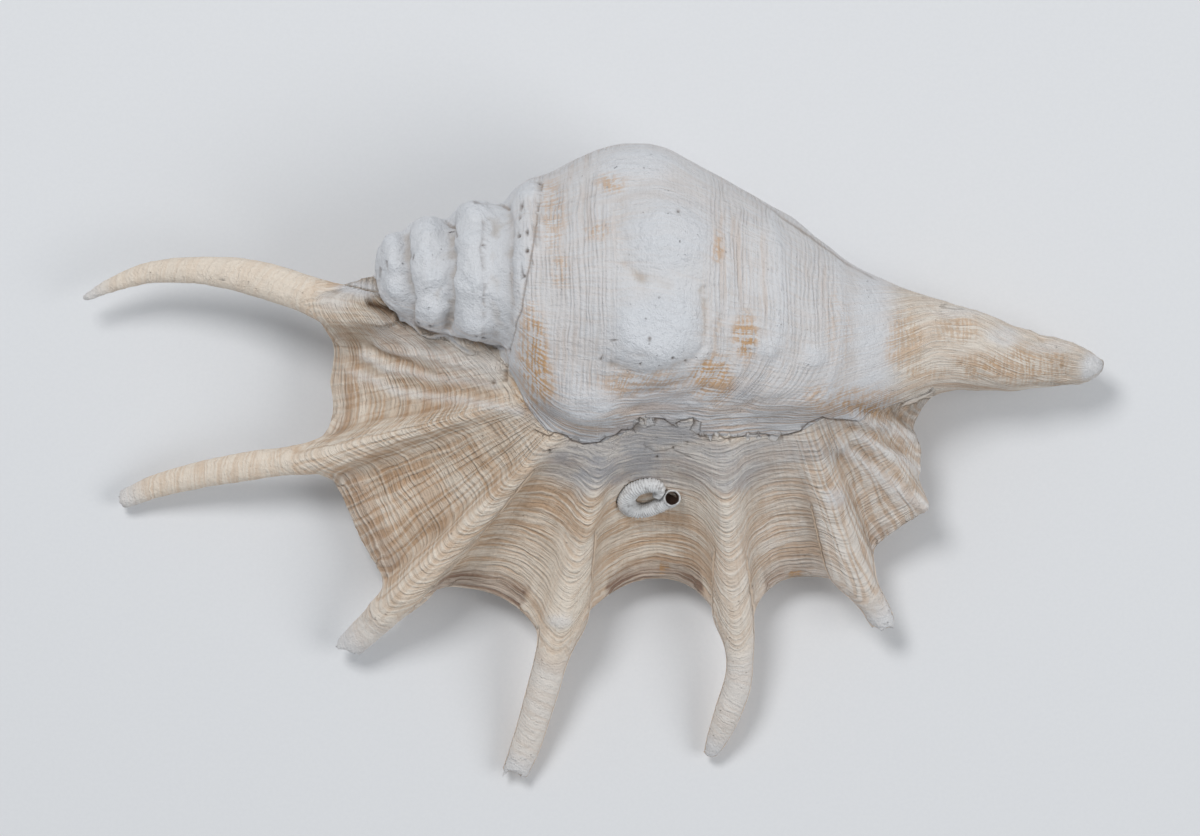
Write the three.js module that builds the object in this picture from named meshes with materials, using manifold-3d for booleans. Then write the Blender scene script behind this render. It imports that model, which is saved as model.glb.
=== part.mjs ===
// A spider conch shell lying mouth down, in millimetres, +Z up.
// +X runs from the spire's tip to the end of the siphonal canal, and the flared lip opens to -Y.
// The shell is one solid. A small worm tube that grew on the lip is the second.
import * as THREE from "three";
import { mergeVertices } from "three/addons/utils/BufferGeometryUtils.js";
import Module from "manifold-3d";

const wasm = await Module();
wasm.setup();

// Driving dimensions
const BODY_SIDES = 26; // faces round the body
const BODY_STEP = 6; // longest face along the body
const FINGER_SIDES = 8;
const GROOVE_SIDES = 6;
const LIP_SHARES = [0, 0.1, 0.25, 0.41, 0.59, 0.79, 1]; // rows of points from the body to the lip's edge
const LEDGE = 0.1; // share of the lip that stays level where it leaves the body
const LIP_THICK = 6.5; // where the lip leaves the body
const EDGE_THICK = 3.6; // at the lip's free edge
const RIB_HEIGHT = 5.5; // of the swelling that runs out along each finger
const WALL_SHARE = 0.9; // inner face of the body wall, as a share of the body's radius
const WORM_GAP = 0.35; // seam all round the worm tube where it sits in the lip
const FLOOR = 0; // height of the worn flat under the body

// The body's outline, one row for each place along X where it changes:
// x, far side (+Y), lip side (-Y), top and bottom
const BODY = [
  [-64.6, 44.2, 42.4, 46, 44.4],
  [-64.0, 48.5, 38.0, 50, 40.4],
  [-62.6, 50.8, 34.2, 53.4, 37],
  [-59.9, 52.9, 30.7, 56.6, 34],
  [-56.4, 53.4, 28.6, 57.4, 32],
  [-54.2, 56.2, 26.5, 60.2, 30.6],
  [-49.6, 57.8, 24.4, 62.2, 28],
  [-44.2, 57.2, 23.4, 61.6, 25.4],
  [-41.2, 61.0, 21.8, 65.2, 24],
  [-36.0, 63.0, 20.0, 67.4, 21.4],
  [-28.4, 62.2, 18.2, 67.0, 17.4],
  [-24.5, 66.2, 9.5, 70.4, 15],
  [-20.2, 69.0, 2.2, 73.0, 12],
  [-14.5, 70.6, -3.4, 74.8, 8.4],
  [-5.8, 75.0, -5.4, 78.0, 3.4],
  [2.9, 77.2, -6.8, 80.0, 0.2],
  [11.5, 77.4, -7.6, 80.4, -1.6],
  [18.8, 76.6, -7.8, 80.2, -2.2],
  [26.0, 74.0, -7.6, 79.0, -2.2],
  [33.2, 70.6, -7.2, 77.4, -1.8],
  [40.4, 66.6, -6.4, 75.6, -1],
  [49.1, 61.8, -5.6, 72.6, 0],
  [57.8, 56.4, -4.9, 67.6, 1.4],
  [66.6, 49.8, -4.0, 60.2, 3],
  [74.0, 44.4, -2.4, 53.4, 4.4],
  [81.4, 41.0, 0.2, 47.4, 5.4],
  [90.3, 37.4, 4.2, 41.8, 6],
  [102.1, 34.0, 8.0, 36.6, 6.2],
  [112.6, 30.8, 8.0, 33.2, 6],
  [120.0, 27.6, 7.6, 31.0, 5.8],
  [129.0, 24.4, 8.8, 28.2, 6.4],
  [139.4, 21.9, 9.8, 25.2, 7.8],
  [145.4, 19.2, 11.4, 21.8, 10],
  [148.4, 16.6, 14.2, 17.8, 14.4],
];

// The axis that the body's sections are drawn round: x, y, z
const AXIS = [
  [-64.6, 43.2, 45.4],
  [-40, 41.2, 44.6],
  [-15, 36, 43],
  [15, 35.4, 42],
  [45, 28.4, 38],
  [75, 20.6, 29],
  [102, 20.8, 22],
  [130, 16.6, 17.6],
  [148.4, 15.4, 16],
];

// Blunt knobs: x, angle round the axis in degrees (0 at the far side, 90 on top), height, half-length, half-angle
const KNOBS = [
  [12, 22, 3.4, 14, 17],
  [21, 67, 6.6, 17, 17],
  [15, 106, 7.4, 16, 16],
  [-4, 139, 4.6, 12, 13],
  [47, 52, 1.6, 8, 18],
  [47, 92, 2.0, 8, 22],
  [48, 126, 2.2, 7, 12],
  [64, 100, 1.2, 6, 26],
  [62, 133, 1.8, 6, 10],
];

// Rows of small knobs on the whorls of the spire: x, first angle, step, count, height, half-length
const SPIRE_KNOBS = [
  [-60, 30, 40, 4, 0.9, 3],
  [-50, 20, 38, 5, 1.3, 4],
  [-36, 32, 35, 5, 1.4, 5],
  [-21, 26, 38, 3, 1.3, 5],
];

// Lines that the lip follows from the body to its free edge, from the spire round to the canal:
// inner x, y, z, edge x, y, z, and how much of a rib runs along it
const LIP = [
  [-62, 36, 41, -75, 37.2, 35, 0.1],
  [-57, 33, 43, -81, 36.4, 34, 0.7],
  [-51, 29.4, 44.6, -84.6, 34, 33, 1],
  [-44, 26.6, 46, -83.4, 28.8, 28, 0.6],
  [-37, 23.4, 47.4, -79.2, 23.2, 23, 0.2],
  [-31, 20.4, 49, -78.4, 18.4, 20, 0.1],
  [-26, 16.6, 48.8, -79.4, 10, 19, 0],
  [-22.4, 13, 50.4, -78.6, 3, 19, 0],
  [-19.6, 9.4, 51.4, -81, -4.6, 19, 0.15],
  [-18, 7.6, 52, -87, -8.6, 17, 0.8],
  [-17, 6.6, 52.4, -91, -12.2, 15, 1],
  [-16, 5.6, 52.8, -86, -15.8, 16, 0.75],
  [-14.6, 4.6, 53.4, -78.6, -19, 15, 0.15],
  [-13, 3.4, 53.8, -74.6, -27, 14, 0],
  [-11.4, 2.4, 54.4, -69.4, -38.4, 14, 0],
  [-9.8, 1.8, 55, -64.4, -47.6, 14, 0.25],
  [-8.2, 1.4, 55.4, -65.6, -55.2, 13, 0.9],
  [-6.8, 1, 55.8, -63.4, -58.6, 12, 1],
  [-5.4, 0.8, 56.2, -57, -57, 13, 0.7],
  [-3.8, 0.6, 56.4, -48.4, -51, 12, 0.1],
  [-2.2, 0.6, 56.6, -38.4, -50.6, 12, 0],
  [-0.8, 0.4, 56.8, -28.4, -53.6, 12, 0.05],
  [0.6, 0.4, 57, -20.8, -59.6, 12, 0.5],
  [2, 0.4, 57.2, -17.2, -66, 12, 0.95],
  [3.6, 0.4, 57.4, -12.6, -69.4, 11, 1],
  [5.2, 0.4, 57.4, -8.4, -65.4, 12, 0.95],
  [7, 0.4, 57.4, -2.4, -56.4, 11, 0.5],
  [10.4, 0.4, 57.4, 7, -49.8, 11, 0.05],
  [15.4, 0.4, 57.4, 16.4, -47.6, 11, 0],
  [22, 0.4, 57, 26, -49.6, 11, 0.05],
  [27.4, 0.6, 56.6, 32.8, -56, 12, 0.5],
  [31, 0.8, 56.2, 36.6, -65, 12, 0.95],
  [34, 1, 55.8, 40.4, -69, 11, 1],
  [37, 1.2, 55.4, 44.4, -64, 12, 0.95],
  [40, 1.6, 54.8, 46.4, -55, 12, 0.5],
  [43.6, 2, 53.8, 53, -48.6, 12, 0.05],
  [47.6, 2.6, 52.4, 63, -47, 12, 0.05],
  [51.4, 3.2, 51, 70.4, -49, 13, 0.5],
  [54.4, 3.8, 49.4, 75.2, -52.6, 13, 1],
  [57.6, 4.4, 49.2, 79.4, -52.8, 13, 0.95],
  [60.4, 5, 47.4, 81.6, -46.6, 14, 0.5],
  [63.4, 5.8, 45.4, 80.8, -38.6, 15, 0.1],
  [66.4, 6.6, 43.2, 88, -32.4, 16, 0.4],
  [69.4, 7.6, 41, 95.8, -26, 17, 0.9],
  [72.6, 8.8, 38.8, 93.4, -17, 18, 0.35],
  [76, 10, 36.6, 94.4, -9.4, 20, 0.3],
  [79.8, 11.6, 34.4, 91.8, -3.6, 22, 0.05],
  [83.8, 13.6, 32.2, 94.6, 3, 23, 0],
  [88, 16, 30, 99, 8.6, 22, 0],
];

// Fingers: the lip line that leads into each, how far out along it the finger's round rib starts,
// and the centre line x, y, z and radius from the lip's edge to the tip
const FINGERS = [
  {
    line: 2,
    from: 0.2,
    rows: [
      [-77, 32.6, 34.6, 6.8],
      [-87, 36.6, 32.6, 5.9],
      [-102, 41.1, 29, 5.2],
      [-117, 43.2, 25, 4.2],
      [-132, 42.6, 20.6, 3.3],
      [-144, 38.8, 16.6, 2.4],
      [-151.6, 35.2, 14, 1.3],
    ],
  },
  {
    line: 10,
    from: 0.14,
    rows: [
      [-84, -11.6, 21.4, 5.2],
      [-92, -12.6, 19, 5],
      [-104, -14.2, 16, 4.5],
      [-117.7, -16.7, 12.2, 4],
      [-131.3, -20.2, 8, 3.6],
      [-137, -22.4, 6, 3.2],
      [-142.2, -24.6, 4.6, 2.9],
    ],
  },
  {
    line: 17,
    from: 0.24,
    rows: [
      [-55.6, -50, 22, 6.1],
      [-61, -55, 18.6, 5.8],
      [-67, -60.8, 13.6, 5],
      [-74, -67.4, 8.2, 4.1],
    ],
  },
  {
    line: 24,
    from: 0.42,
    rows: [
      [-10, -58, 21.6, 6.8],
      [-13.2, -67, 18.6, 5.9],
      [-15.7, -76, 15, 5.2],
      [-18.9, -87, 10.8, 4.7],
      [-22, -97, 6.8, 4.5],
      [-25, -104.6, 4.2, 4],
    ],
  },
  {
    line: 32,
    from: 0.34,
    rows: [
      [38.8, -56, 22, 6.3],
      [40.9, -66, 18.6, 5.2],
      [40.9, -76, 14.8, 4.5],
      [38, -86, 10.8, 4.2],
      [35, -94, 7, 3.4],
      [32.6, -99.4, 4.4, 2.3],
    ],
  },
  {
    line: 38,
    from: 0.3,
    rows: [
      [72, -44, 22.4, 6],
      [76.4, -49.6, 19.6, 5.5],
      [80.4, -55, 16, 4.5],
      [83.5, -60.8, 12.6, 4],
    ],
  },
];
// The filling between the body's side and the lip: where it starts and ends along X, and at those ends and
// in its middle the angle that it reaches up the body to and the share of the lip that it reaches down to
const FOOT_FROM = -13;
const FOOT_TO = 84;
const FOOT_ENDS = [156, 0.06];
const FOOT_MIDDLE = [138, 0.34];
const FOOT_STEPS = 14;
const FOOT_SIDES = 5; // points across its face
const RIB_START = 2.2; // radius of a finger's rib where it leaves the body
const FINGER_FLATNESS = 0.88; // height of a finger's section over its width

// The mouth under the body, in shares of the body's radius at each angle: angle, inner share, outer share
const MOUTH = [
  [247, 1.06, 1.14],
  [238, 0.86, 1.14],
  [222, 0.78, 1.16],
  [208, 0.7, 1.18],
  [194, 0.66, 1.16],
  [180, 0.64, 0.95],
  [162, 0.64, WALL_SHARE],
  [142, 0.64, WALL_SHARE],
  [122, 0.66, WALL_SHARE],
  [104, 0.7, 0.87],
];
const MOUTH_FROM = -29.3;
const MOUTH_TO = 93.4;

// Grooves that carry on from the mouth: centre line x, y, z and radius
const CANAL_GROOVE = [
  [78, 1, 14, 5],
  [90, 9.4, 9, 4.6],
  [102, 14.6, 6.4, 4],
  [116, 16, 5.4, 3.6],
  [132, 15.6, 6.4, 3],
  [152, 15.4, 10.4, 2.4],
];
const REAR_GROOVE = [
  [-18, 6, 36, 5],
  [-32, 14, 34, 4.4],
  [-48, 21, 30.6, 3.8],
  [-64, 27.4, 27.4, 3.2],
  [-84, 35.6, 25.6, 2.6],
  [-100, 40.4, 22.9, 1.6],
];
// Thin shelf of shell between the spire's tip and the first finger: x, y, z and half-width
const SHELF = [
  [-54, 38, 38, 5],
  [-62, 37.6, 35, 4.6],
  [-70, 37, 33, 3.4],
  [-80, 36.6, 32, 1.6],
];
const SHELF_FLATNESS = 0.42;

// The worm tube, coiled once on the lip: x, y and radius along it, from its narrow start to its open end
const WORM = [
  [16.6, -22.6, 1.3],
  [17.0, -20.4, 1.8],
  [14.8, -19.4, 2.0],
  [12.2, -19.7, 2.1],
  [9.3, -21.0, 2.4],
  [7.5, -23.6, 2.6],
  [8.6, -26.0, 2.4],
  [11.7, -27.0, 2.1],
  [15.2, -26.3, 2.0],
  [18.0, -24.9, 2.1],
  [20.4, -23.4, 2.5],
];
const WORM_AT = [12, -23, 36.3]; // the middle of the coil
const WORM_SLOPE = 1.08; // the lip's rise towards +Y there
const WORM_BORE = 1.6; // radius of its open end

const degrees = (a) => (a * Math.PI) / 180;
const mix = (a, b, t) => a + (b - a) * t;
const bell = (d) => Math.exp(-0.5 * d * d);

// A smooth curve through one column of rows, read by the first column.
function through(rows, column) {
  const x = rows.map((r) => r[0]);
  const y = rows.map((r) => r[column]);
  const last = x.length - 1;
  const slope = x.map((_, i) => {
    const a = Math.max(0, i - 1);
    const b = Math.min(last, i + 1);
    return (y[b] - y[a]) / (x[b] - x[a]);
  });
  return (at) => {
    let i = 0;
    while (i < last - 1 && at > x[i + 1]) i++;
    const h = x[i + 1] - x[i];
    const t = Math.min(1, Math.max(0, (at - x[i]) / h));
    const s = t * t * (3 - 2 * t);
    const rise = h * t * (1 - t) * ((1 - t) * slope[i] - t * slope[i + 1]);
    return mix(y[i], y[i + 1], s) + rise;
  };
}

// Rows with extra ones between, read at their number rather than their first column.
function between(rows, steps) {
  const numbered = rows.map((r, i) => [i, ...r]);
  const read = rows[0].map((_, c) => through(numbered, c + 1));
  const count = (rows.length - 1) * steps;
  return Array.from({ length: count + 1 }, (_, k) => read.map((f) => f(k / steps)));
}

// A closed geometry through rings of points, with its two ends filled by rungs from side to side.
function loft(rings) {
  const sides = rings[0].length;
  const last = (rings.length - 1) * sides;
  const faces = [];
  for (let start = 0; start < last; start += sides)
    for (let j = 0; j < sides; j++) {
      const a = start + j;
      const b = start + ((j + 1) % sides);
      faces.push(a, b, a + sides, b, b + sides, a + sides);
    }
  for (let j = 0, k = sides - 1; j + 1 < k; j++, k--) {
    faces.push(j, k, j + 1, last + j, last + j + 1, last + k);
    if (j + 1 < k - 1) faces.push(j + 1, k, k - 1, last + j + 1, last + k - 1, last + k);
  }
  return new THREE.BufferGeometry().setFromPoints(rings.flat()).setIndex(faces);
}

// A geometry as a solid, turned right side out.
function solid(geometry) {
  const merged = mergeVertices(geometry, 1e-4);
  const triVerts = new Uint32Array(merged.index.array);
  const vertProperties = merged.attributes.position.array;
  const made = new wasm.Manifold(new wasm.Mesh({ numProp: 3, vertProperties, triVerts }));
  if (made.volume() > 0) return made;
  for (let i = 0; i < triVerts.length; i += 3)
    [triVerts[i + 1], triVerts[i + 2]] = [triVerts[i + 2], triVerts[i + 1]];
  return new wasm.Manifold(new wasm.Mesh({ numProp: 3, vertProperties, triVerts }));
}

// Functions of x for the body's four sides and its axis
const [far, near, top, bottom] = [1, 2, 3, 4].map((c) => through(BODY, c));
const [axisY, axisZ] = [1, 2].map((c) => through(AXIS, c));

// How far the knobs lift the body's surface at x and an angle in degrees.
function knobs(x, angle) {
  let lift = 0;
  for (const [kx, ka, height, long, round] of KNOBS)
    lift += height * bell(((x - kx) / long) * 1.5) * bell(((angle - ka) / round) * 1.3);
  for (const [kx, first, step, count, height, long] of SPIRE_KNOBS)
    for (let k = 0; k < count; k++)
      lift += height * bell(((x - kx) / long) * 1.5) * bell(((angle - first - k * step) / step) * 3.2);
  return lift;
}

// A point of the body at x and an angle, at a share of its radius.
function bodyPoint(x, angle, share, lifted) {
  const a = degrees(angle);
  const c = Math.cos(a);
  const s = Math.sin(a);
  const y0 = axisY(x);
  const z0 = axisZ(x);
  const dy = c > 0 ? far(x) - y0 : y0 - near(x);
  const dz = s > 0 ? top(x) - z0 : z0 - bottom(x);
  const lift = lifted ? knobs(x, angle) : 0;
  return new THREE.Vector3(x, y0 + c * (dy * share + lift), z0 + s * (dz * share + lift));
}

// The spire, the body whorl and the siphonal canal in one form, flat where it stands.
function bodyWhorl() {
  const places = BODY.slice(1).flatMap(([x], i) => {
    const from = BODY[i][0];
    const count = Math.ceil((x - from) / BODY_STEP);
    return Array.from({ length: count }, (_, k) => from + ((x - from) * k) / count);
  });
  places.push(BODY[BODY.length - 1][0]);
  const rings = places.map((x) =>
    Array.from({ length: BODY_SIDES }, (_, j) => {
      const p = bodyPoint(x, (j * 360) / BODY_SIDES, 1, true);
      p.z = Math.max(p.z, FLOOR);
      return p;
    }),
  );
  return solid(loft(rings));
}

// How far the lip still has to come down, from 1 at the body to 0 at its edge
const fall = (v) => {
  const left = Math.min(1, (1 - v) / (1 - LEDGE));
  return 0.78 * left ** 1.5 + 0.22 * left ** 0.5;
};

// A point of the lip's upper face, a share v of the way along a line of it.
function lipPoint([x0, y0, z0, x1, y1, z1, rib], v) {
  const raise = RIB_HEIGHT * Math.max(0, rib) * Math.sin(Math.min(1, v * 1.05) * Math.PI * 0.5) ** 2;
  return new THREE.Vector3(mix(x0, x1, v), mix(y0, y1, v), mix(z1, z0, fall(v)) + raise);
}

// The flared lip, a curved sheet with a swelling towards each finger.
function flaredLip() {
  const rings = between(LIP, 2).map((line) => {
    const upper = [];
    const lower = [];
    for (const v of LIP_SHARES) {
      const p = lipPoint(line, v);
      const thick = mix(LIP_THICK, EDGE_THICK, v) + Math.max(0, line[6]) * 2 * v;
      const inset = v === 1 ? 0.985 : 1;
      upper.push(p);
      lower.unshift(lipPoint(line, v * inset).setZ(p.z - thick));
    }
    return [...upper, ...lower];
  });
  return solid(loft(rings));
}

// The filling where the lip leaves the body's side, with a hollow face.
function foot() {
  const columns = LIP[0].slice(1).map((_, c) => through(LIP, c + 1));
  const rings = Array.from({ length: FOOT_STEPS + 1 }, (_, i) => {
    const t = i / FOOT_STEPS;
    const x = mix(FOOT_FROM, FOOT_TO, t);
    const wide = Math.sin(Math.PI * mix(0.03, 0.97, t)) ** 0.5;
    const [angle, share] = FOOT_ENDS.map((end, k) => mix(end, FOOT_MIDDLE[k], wide));
    const line = [x, ...columns.map((f) => f(x))];
    const crease = lipPoint(line, 0).add(new THREE.Vector3(0, -7 * wide, 1.5 * wide));
    const face = new THREE.QuadraticBezierCurve3(bodyPoint(x, angle, 0.99, true), crease, lipPoint(line, share));
    const sunk = [share * 0.6, 0].map((v) => lipPoint(line, v).add(new THREE.Vector3(0, 0, -2)));
    return [...face.getPoints(FOOT_SIDES - 1), ...sunk];
  });
  return solid(loft(rings));
}

// A tube along rows of x, y, z and radius, its section flattened in height.
function tube(rows, sides, flatness, steps = 2) {
  const places = between(rows, steps);
  const centres = places.map(([x, y, z]) => new THREE.Vector3(x, y, z));
  const up = new THREE.Vector3(0, 0, 1);
  const rings = centres.map((centre, i) => {
    const before = centres[Math.max(0, i - 1)];
    const after = centres[Math.min(centres.length - 1, i + 1)];
    const along = after.clone().sub(before).normalize();
    const across = new THREE.Vector3().crossVectors(along, up).normalize();
    const lifted = new THREE.Vector3().crossVectors(across, along);
    const radius = places[i][3];
    return Array.from({ length: sides }, (_, j) => {
      const a = (j / sides) * 2 * Math.PI;
      return centre
        .clone()
        .addScaledVector(across, Math.cos(a) * radius)
        .addScaledVector(lifted, Math.sin(a) * radius * flatness);
    });
  });
  return solid(loft(rings));
}

// The hollow of the mouth: a curved slot that opens under the body and runs up inside its wall.
function mouth() {
  const steps = 12;
  const rings = Array.from({ length: steps + 1 }, (_, i) => {
    const t = i / steps;
    const x = mix(MOUTH_FROM, MOUTH_TO, t);
    const open = Math.sin(Math.PI * Math.min(0.97, Math.max(0.03, t))) ** 0.5;
    const inner = MOUTH.map(([a, low, high]) => bodyPoint(x, a, mix(mix(low, high, 0.75), low, open), false));
    const outer = MOUTH.map(([a, , high]) => bodyPoint(x, a, high, false));
    return [...inner, ...outer.reverse()];
  });
  return solid(loft(rings));
}

// A finger with the rib that leads to it across the lip.
function finger({ line, from, rows }) {
  const [rootX, rootY, , rootRadius] = rows[0];
  const ribbed = LIP[line];
  const span = Math.hypot(ribbed[3] - ribbed[0], ribbed[4] - ribbed[1]);
  const out = Math.hypot(rootX - ribbed[0], rootY - ribbed[1]) / span;
  const lead = [0, 0.5].map((t) => {
    const radius = mix(RIB_START, rootRadius, t * 1.1);
    const p = lipPoint(ribbed, mix(from, out, t));
    return [p.x, p.y, p.z - radius * 0.35, radius];
  });
  return tube([...lead, ...rows], FINGER_SIDES, FINGER_FLATNESS);
}

// The coiled tube, thicker by grow, and its blind bore.
function wormTube(grow) {
  const rows = WORM.map(([x, y, radius]) => [x, y, WORM_AT[2] + (y - WORM_AT[1]) * WORM_SLOPE, radius + grow]);
  return tube(rows, FINGER_SIDES, 1);
}

function wormBore() {
  const [x, y] = WORM[WORM.length - 1];
  const z = WORM_AT[2] + (y - WORM_AT[1]) * WORM_SLOPE;
  const rows = [
    [x + 0.4, y - 2, z + 4, WORM_BORE],
    [x, y, z, WORM_BORE],
    [x - 0.6, y - 0.4, z - 1, WORM_BORE * 0.7],
  ];
  return tube(rows, FINGER_SIDES, 1, 1);
}

function shellSolid() {
  let shell = bodyWhorl().add(flaredLip()).add(foot());
  for (const each of FINGERS) shell = shell.add(finger(each));
  shell = shell.add(tube(SHELF, FINGER_SIDES, SHELF_FLATNESS));
  shell = shell.subtract(mouth());
  shell = shell.subtract(tube(CANAL_GROOVE, GROOVE_SIDES, 1, 1));
  shell = shell.subtract(tube(REAR_GROOVE, GROOVE_SIDES, 1, 1));
  return shell.subtract(wormTube(WORM_GAP));
}

function geometryOf(manifold) {
  const mesh = manifold.getMesh();
  const geometry = new THREE.BufferGeometry();
  geometry.setAttribute("position", new THREE.BufferAttribute(mesh.vertProperties.slice(), 3));
  geometry.setIndex(new THREE.BufferAttribute(mesh.triVerts.slice(), 1));
  geometry.computeVertexNormals();
  return geometry;
}

const bone = new THREE.MeshStandardMaterial({ color: 0xded3c4, roughness: 0.75, metalness: 0, flatShading: true });

const chalk = new THREE.MeshStandardMaterial({ color: 0xbdb8b0, roughness: 0.85, metalness: 0, flatShading: true });

const group = new THREE.Group();
for (const [name, made, material] of [
  ["shell", shellSolid(), bone],
  ["worm_tube", wormTube(0).subtract(wormBore()), chalk],
]) {
  const mesh = new THREE.Mesh(geometryOf(made), material);
  mesh.name = name;
  group.add(mesh);
}

// The origin is under the middle of the object.
const box = new THREE.Box3().setFromObject(group);
group.position.set(-(box.min.x + box.max.x) / 2, -(box.min.y + box.max.y) / 2, -box.min.z);

export default group;
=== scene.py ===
"""A spider conch shell lying mouth down, with the coiled tube of a worm snail on its lip."""

import itertools
import math

import bmesh
import bpy
import numpy as np
from bpy.props import FloatProperty, FloatVectorProperty, PointerProperty
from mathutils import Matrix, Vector, kdtree


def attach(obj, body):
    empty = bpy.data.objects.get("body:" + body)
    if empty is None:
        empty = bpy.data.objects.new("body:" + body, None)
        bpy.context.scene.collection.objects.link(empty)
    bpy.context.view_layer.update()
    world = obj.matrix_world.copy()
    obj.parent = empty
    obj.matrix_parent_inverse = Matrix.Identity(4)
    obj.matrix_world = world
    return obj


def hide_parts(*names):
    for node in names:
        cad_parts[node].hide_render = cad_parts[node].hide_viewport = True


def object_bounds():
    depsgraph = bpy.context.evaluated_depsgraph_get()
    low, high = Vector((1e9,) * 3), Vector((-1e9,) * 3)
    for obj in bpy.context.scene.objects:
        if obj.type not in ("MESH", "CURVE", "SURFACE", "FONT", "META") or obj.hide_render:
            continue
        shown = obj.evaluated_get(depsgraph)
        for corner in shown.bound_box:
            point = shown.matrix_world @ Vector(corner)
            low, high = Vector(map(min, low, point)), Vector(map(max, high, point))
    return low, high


bl_info = {
    "name": "Spider Conch Shell",
    "version": (1, 0, 0),
    "blender": (4, 5, 0),
    "location": "3D View > Sidebar > Conch",
    "description": "Builds a worn spider conch shell and the worm tube on its lip",
    "category": "Add Mesh",
}

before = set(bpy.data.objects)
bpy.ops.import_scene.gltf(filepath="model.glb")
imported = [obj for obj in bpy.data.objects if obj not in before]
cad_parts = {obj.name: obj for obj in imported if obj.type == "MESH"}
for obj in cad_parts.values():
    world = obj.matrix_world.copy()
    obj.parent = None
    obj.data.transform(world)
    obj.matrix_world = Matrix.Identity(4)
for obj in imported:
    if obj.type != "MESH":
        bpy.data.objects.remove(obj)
CAD_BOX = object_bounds()

# Shapes are worked out in millimetres, in the plan of the shell as seen from above, and moved into the
# frame at the end.
PLAN_TO_FRAME = np.array([1.914, 13.722, 0.0])
VIEW_HEIGHT = 1500.0  # of the eye above the floor, in the plan
VIEW_STEP = 0.2971  # millimetres at the floor to one step of the view
VIEW_CENTRE = (600.0, 418.0)

# The body's outline: x, far side, lip side, top and bottom
BODY = np.array([
    [-64.6, 44.2, 42.4, 46, 44.4], [-64.0, 48.5, 38.0, 50, 40.4], [-62.6, 50.8, 34.2, 53.4, 37],
    [-59.9, 52.9, 30.7, 56.6, 34], [-56.4, 53.4, 28.6, 57.4, 32], [-54.2, 56.2, 26.5, 60.2, 30.6],
    [-49.6, 57.8, 24.4, 62.2, 28], [-44.2, 57.2, 23.4, 61.6, 25.4], [-41.2, 61.0, 21.8, 65.2, 24],
    [-36.0, 63.0, 20.0, 67.4, 21.4], [-28.4, 62.2, 18.2, 67.0, 17.4], [-24.5, 66.2, 9.5, 70.4, 15],
    [-20.2, 69.0, 2.2, 73.0, 12], [-14.5, 70.6, -3.4, 74.8, 8.4], [-5.8, 75.0, -5.4, 78.0, 3.4],
    [2.9, 77.2, -6.8, 80.0, 0.2], [11.5, 77.4, -7.6, 80.4, -1.6], [18.8, 76.6, -7.8, 80.2, -2.2],
    [26.0, 74.0, -7.6, 79.0, -2.2], [33.2, 70.6, -7.2, 77.4, -1.8], [40.4, 66.6, -6.4, 75.6, -1],
    [49.1, 61.8, -5.6, 72.6, 0], [57.8, 56.4, -4.9, 67.6, 1.4], [66.6, 49.8, -4.0, 60.2, 3],
    [74.0, 44.4, -2.4, 53.4, 4.4], [81.4, 41.0, 0.2, 47.4, 5.4], [90.3, 37.4, 4.2, 41.8, 6],
    [102.1, 34.0, 8.0, 36.6, 6.2], [112.6, 30.8, 8.0, 33.2, 6], [120.0, 27.6, 7.6, 31.0, 5.8],
    [129.0, 24.4, 8.8, 28.2, 6.4], [139.4, 21.9, 9.8, 25.2, 7.8], [145.4, 19.2, 11.4, 21.8, 10],
    [148.4, 16.6, 14.2, 17.8, 14.4],
])
AXIS = np.array([
    [-64.6, 43.2, 45.4], [-40, 41.2, 44.6], [-15, 36, 43], [15, 35.4, 42], [45, 28.4, 38], [75, 20.6, 29],
    [102, 20.8, 22], [130, 16.6, 17.6], [148.4, 15.4, 16],
])
# Blunt knobs: x, angle round the axis, height, half-length, half-angle
KNOBS = [
    [12, 22, 3.4, 14, 17], [21, 67, 6.6, 17, 17], [15, 106, 7.4, 16, 16], [-4, 139, 4.6, 12, 13],
    [47, 52, 1.6, 8, 18], [47, 92, 2.0, 8, 22], [48, 126, 2.2, 7, 12], [64, 100, 1.2, 6, 26],
    [62, 133, 1.8, 6, 10],
]
SPIRE_KNOBS = [
    [-60, 30, 40, 4, 0.9, 3], [-50, 20, 38, 5, 1.3, 4], [-36, 32, 35, 5, 1.4, 5], [-21, 26, 38, 3, 1.3, 5],
]
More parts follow.
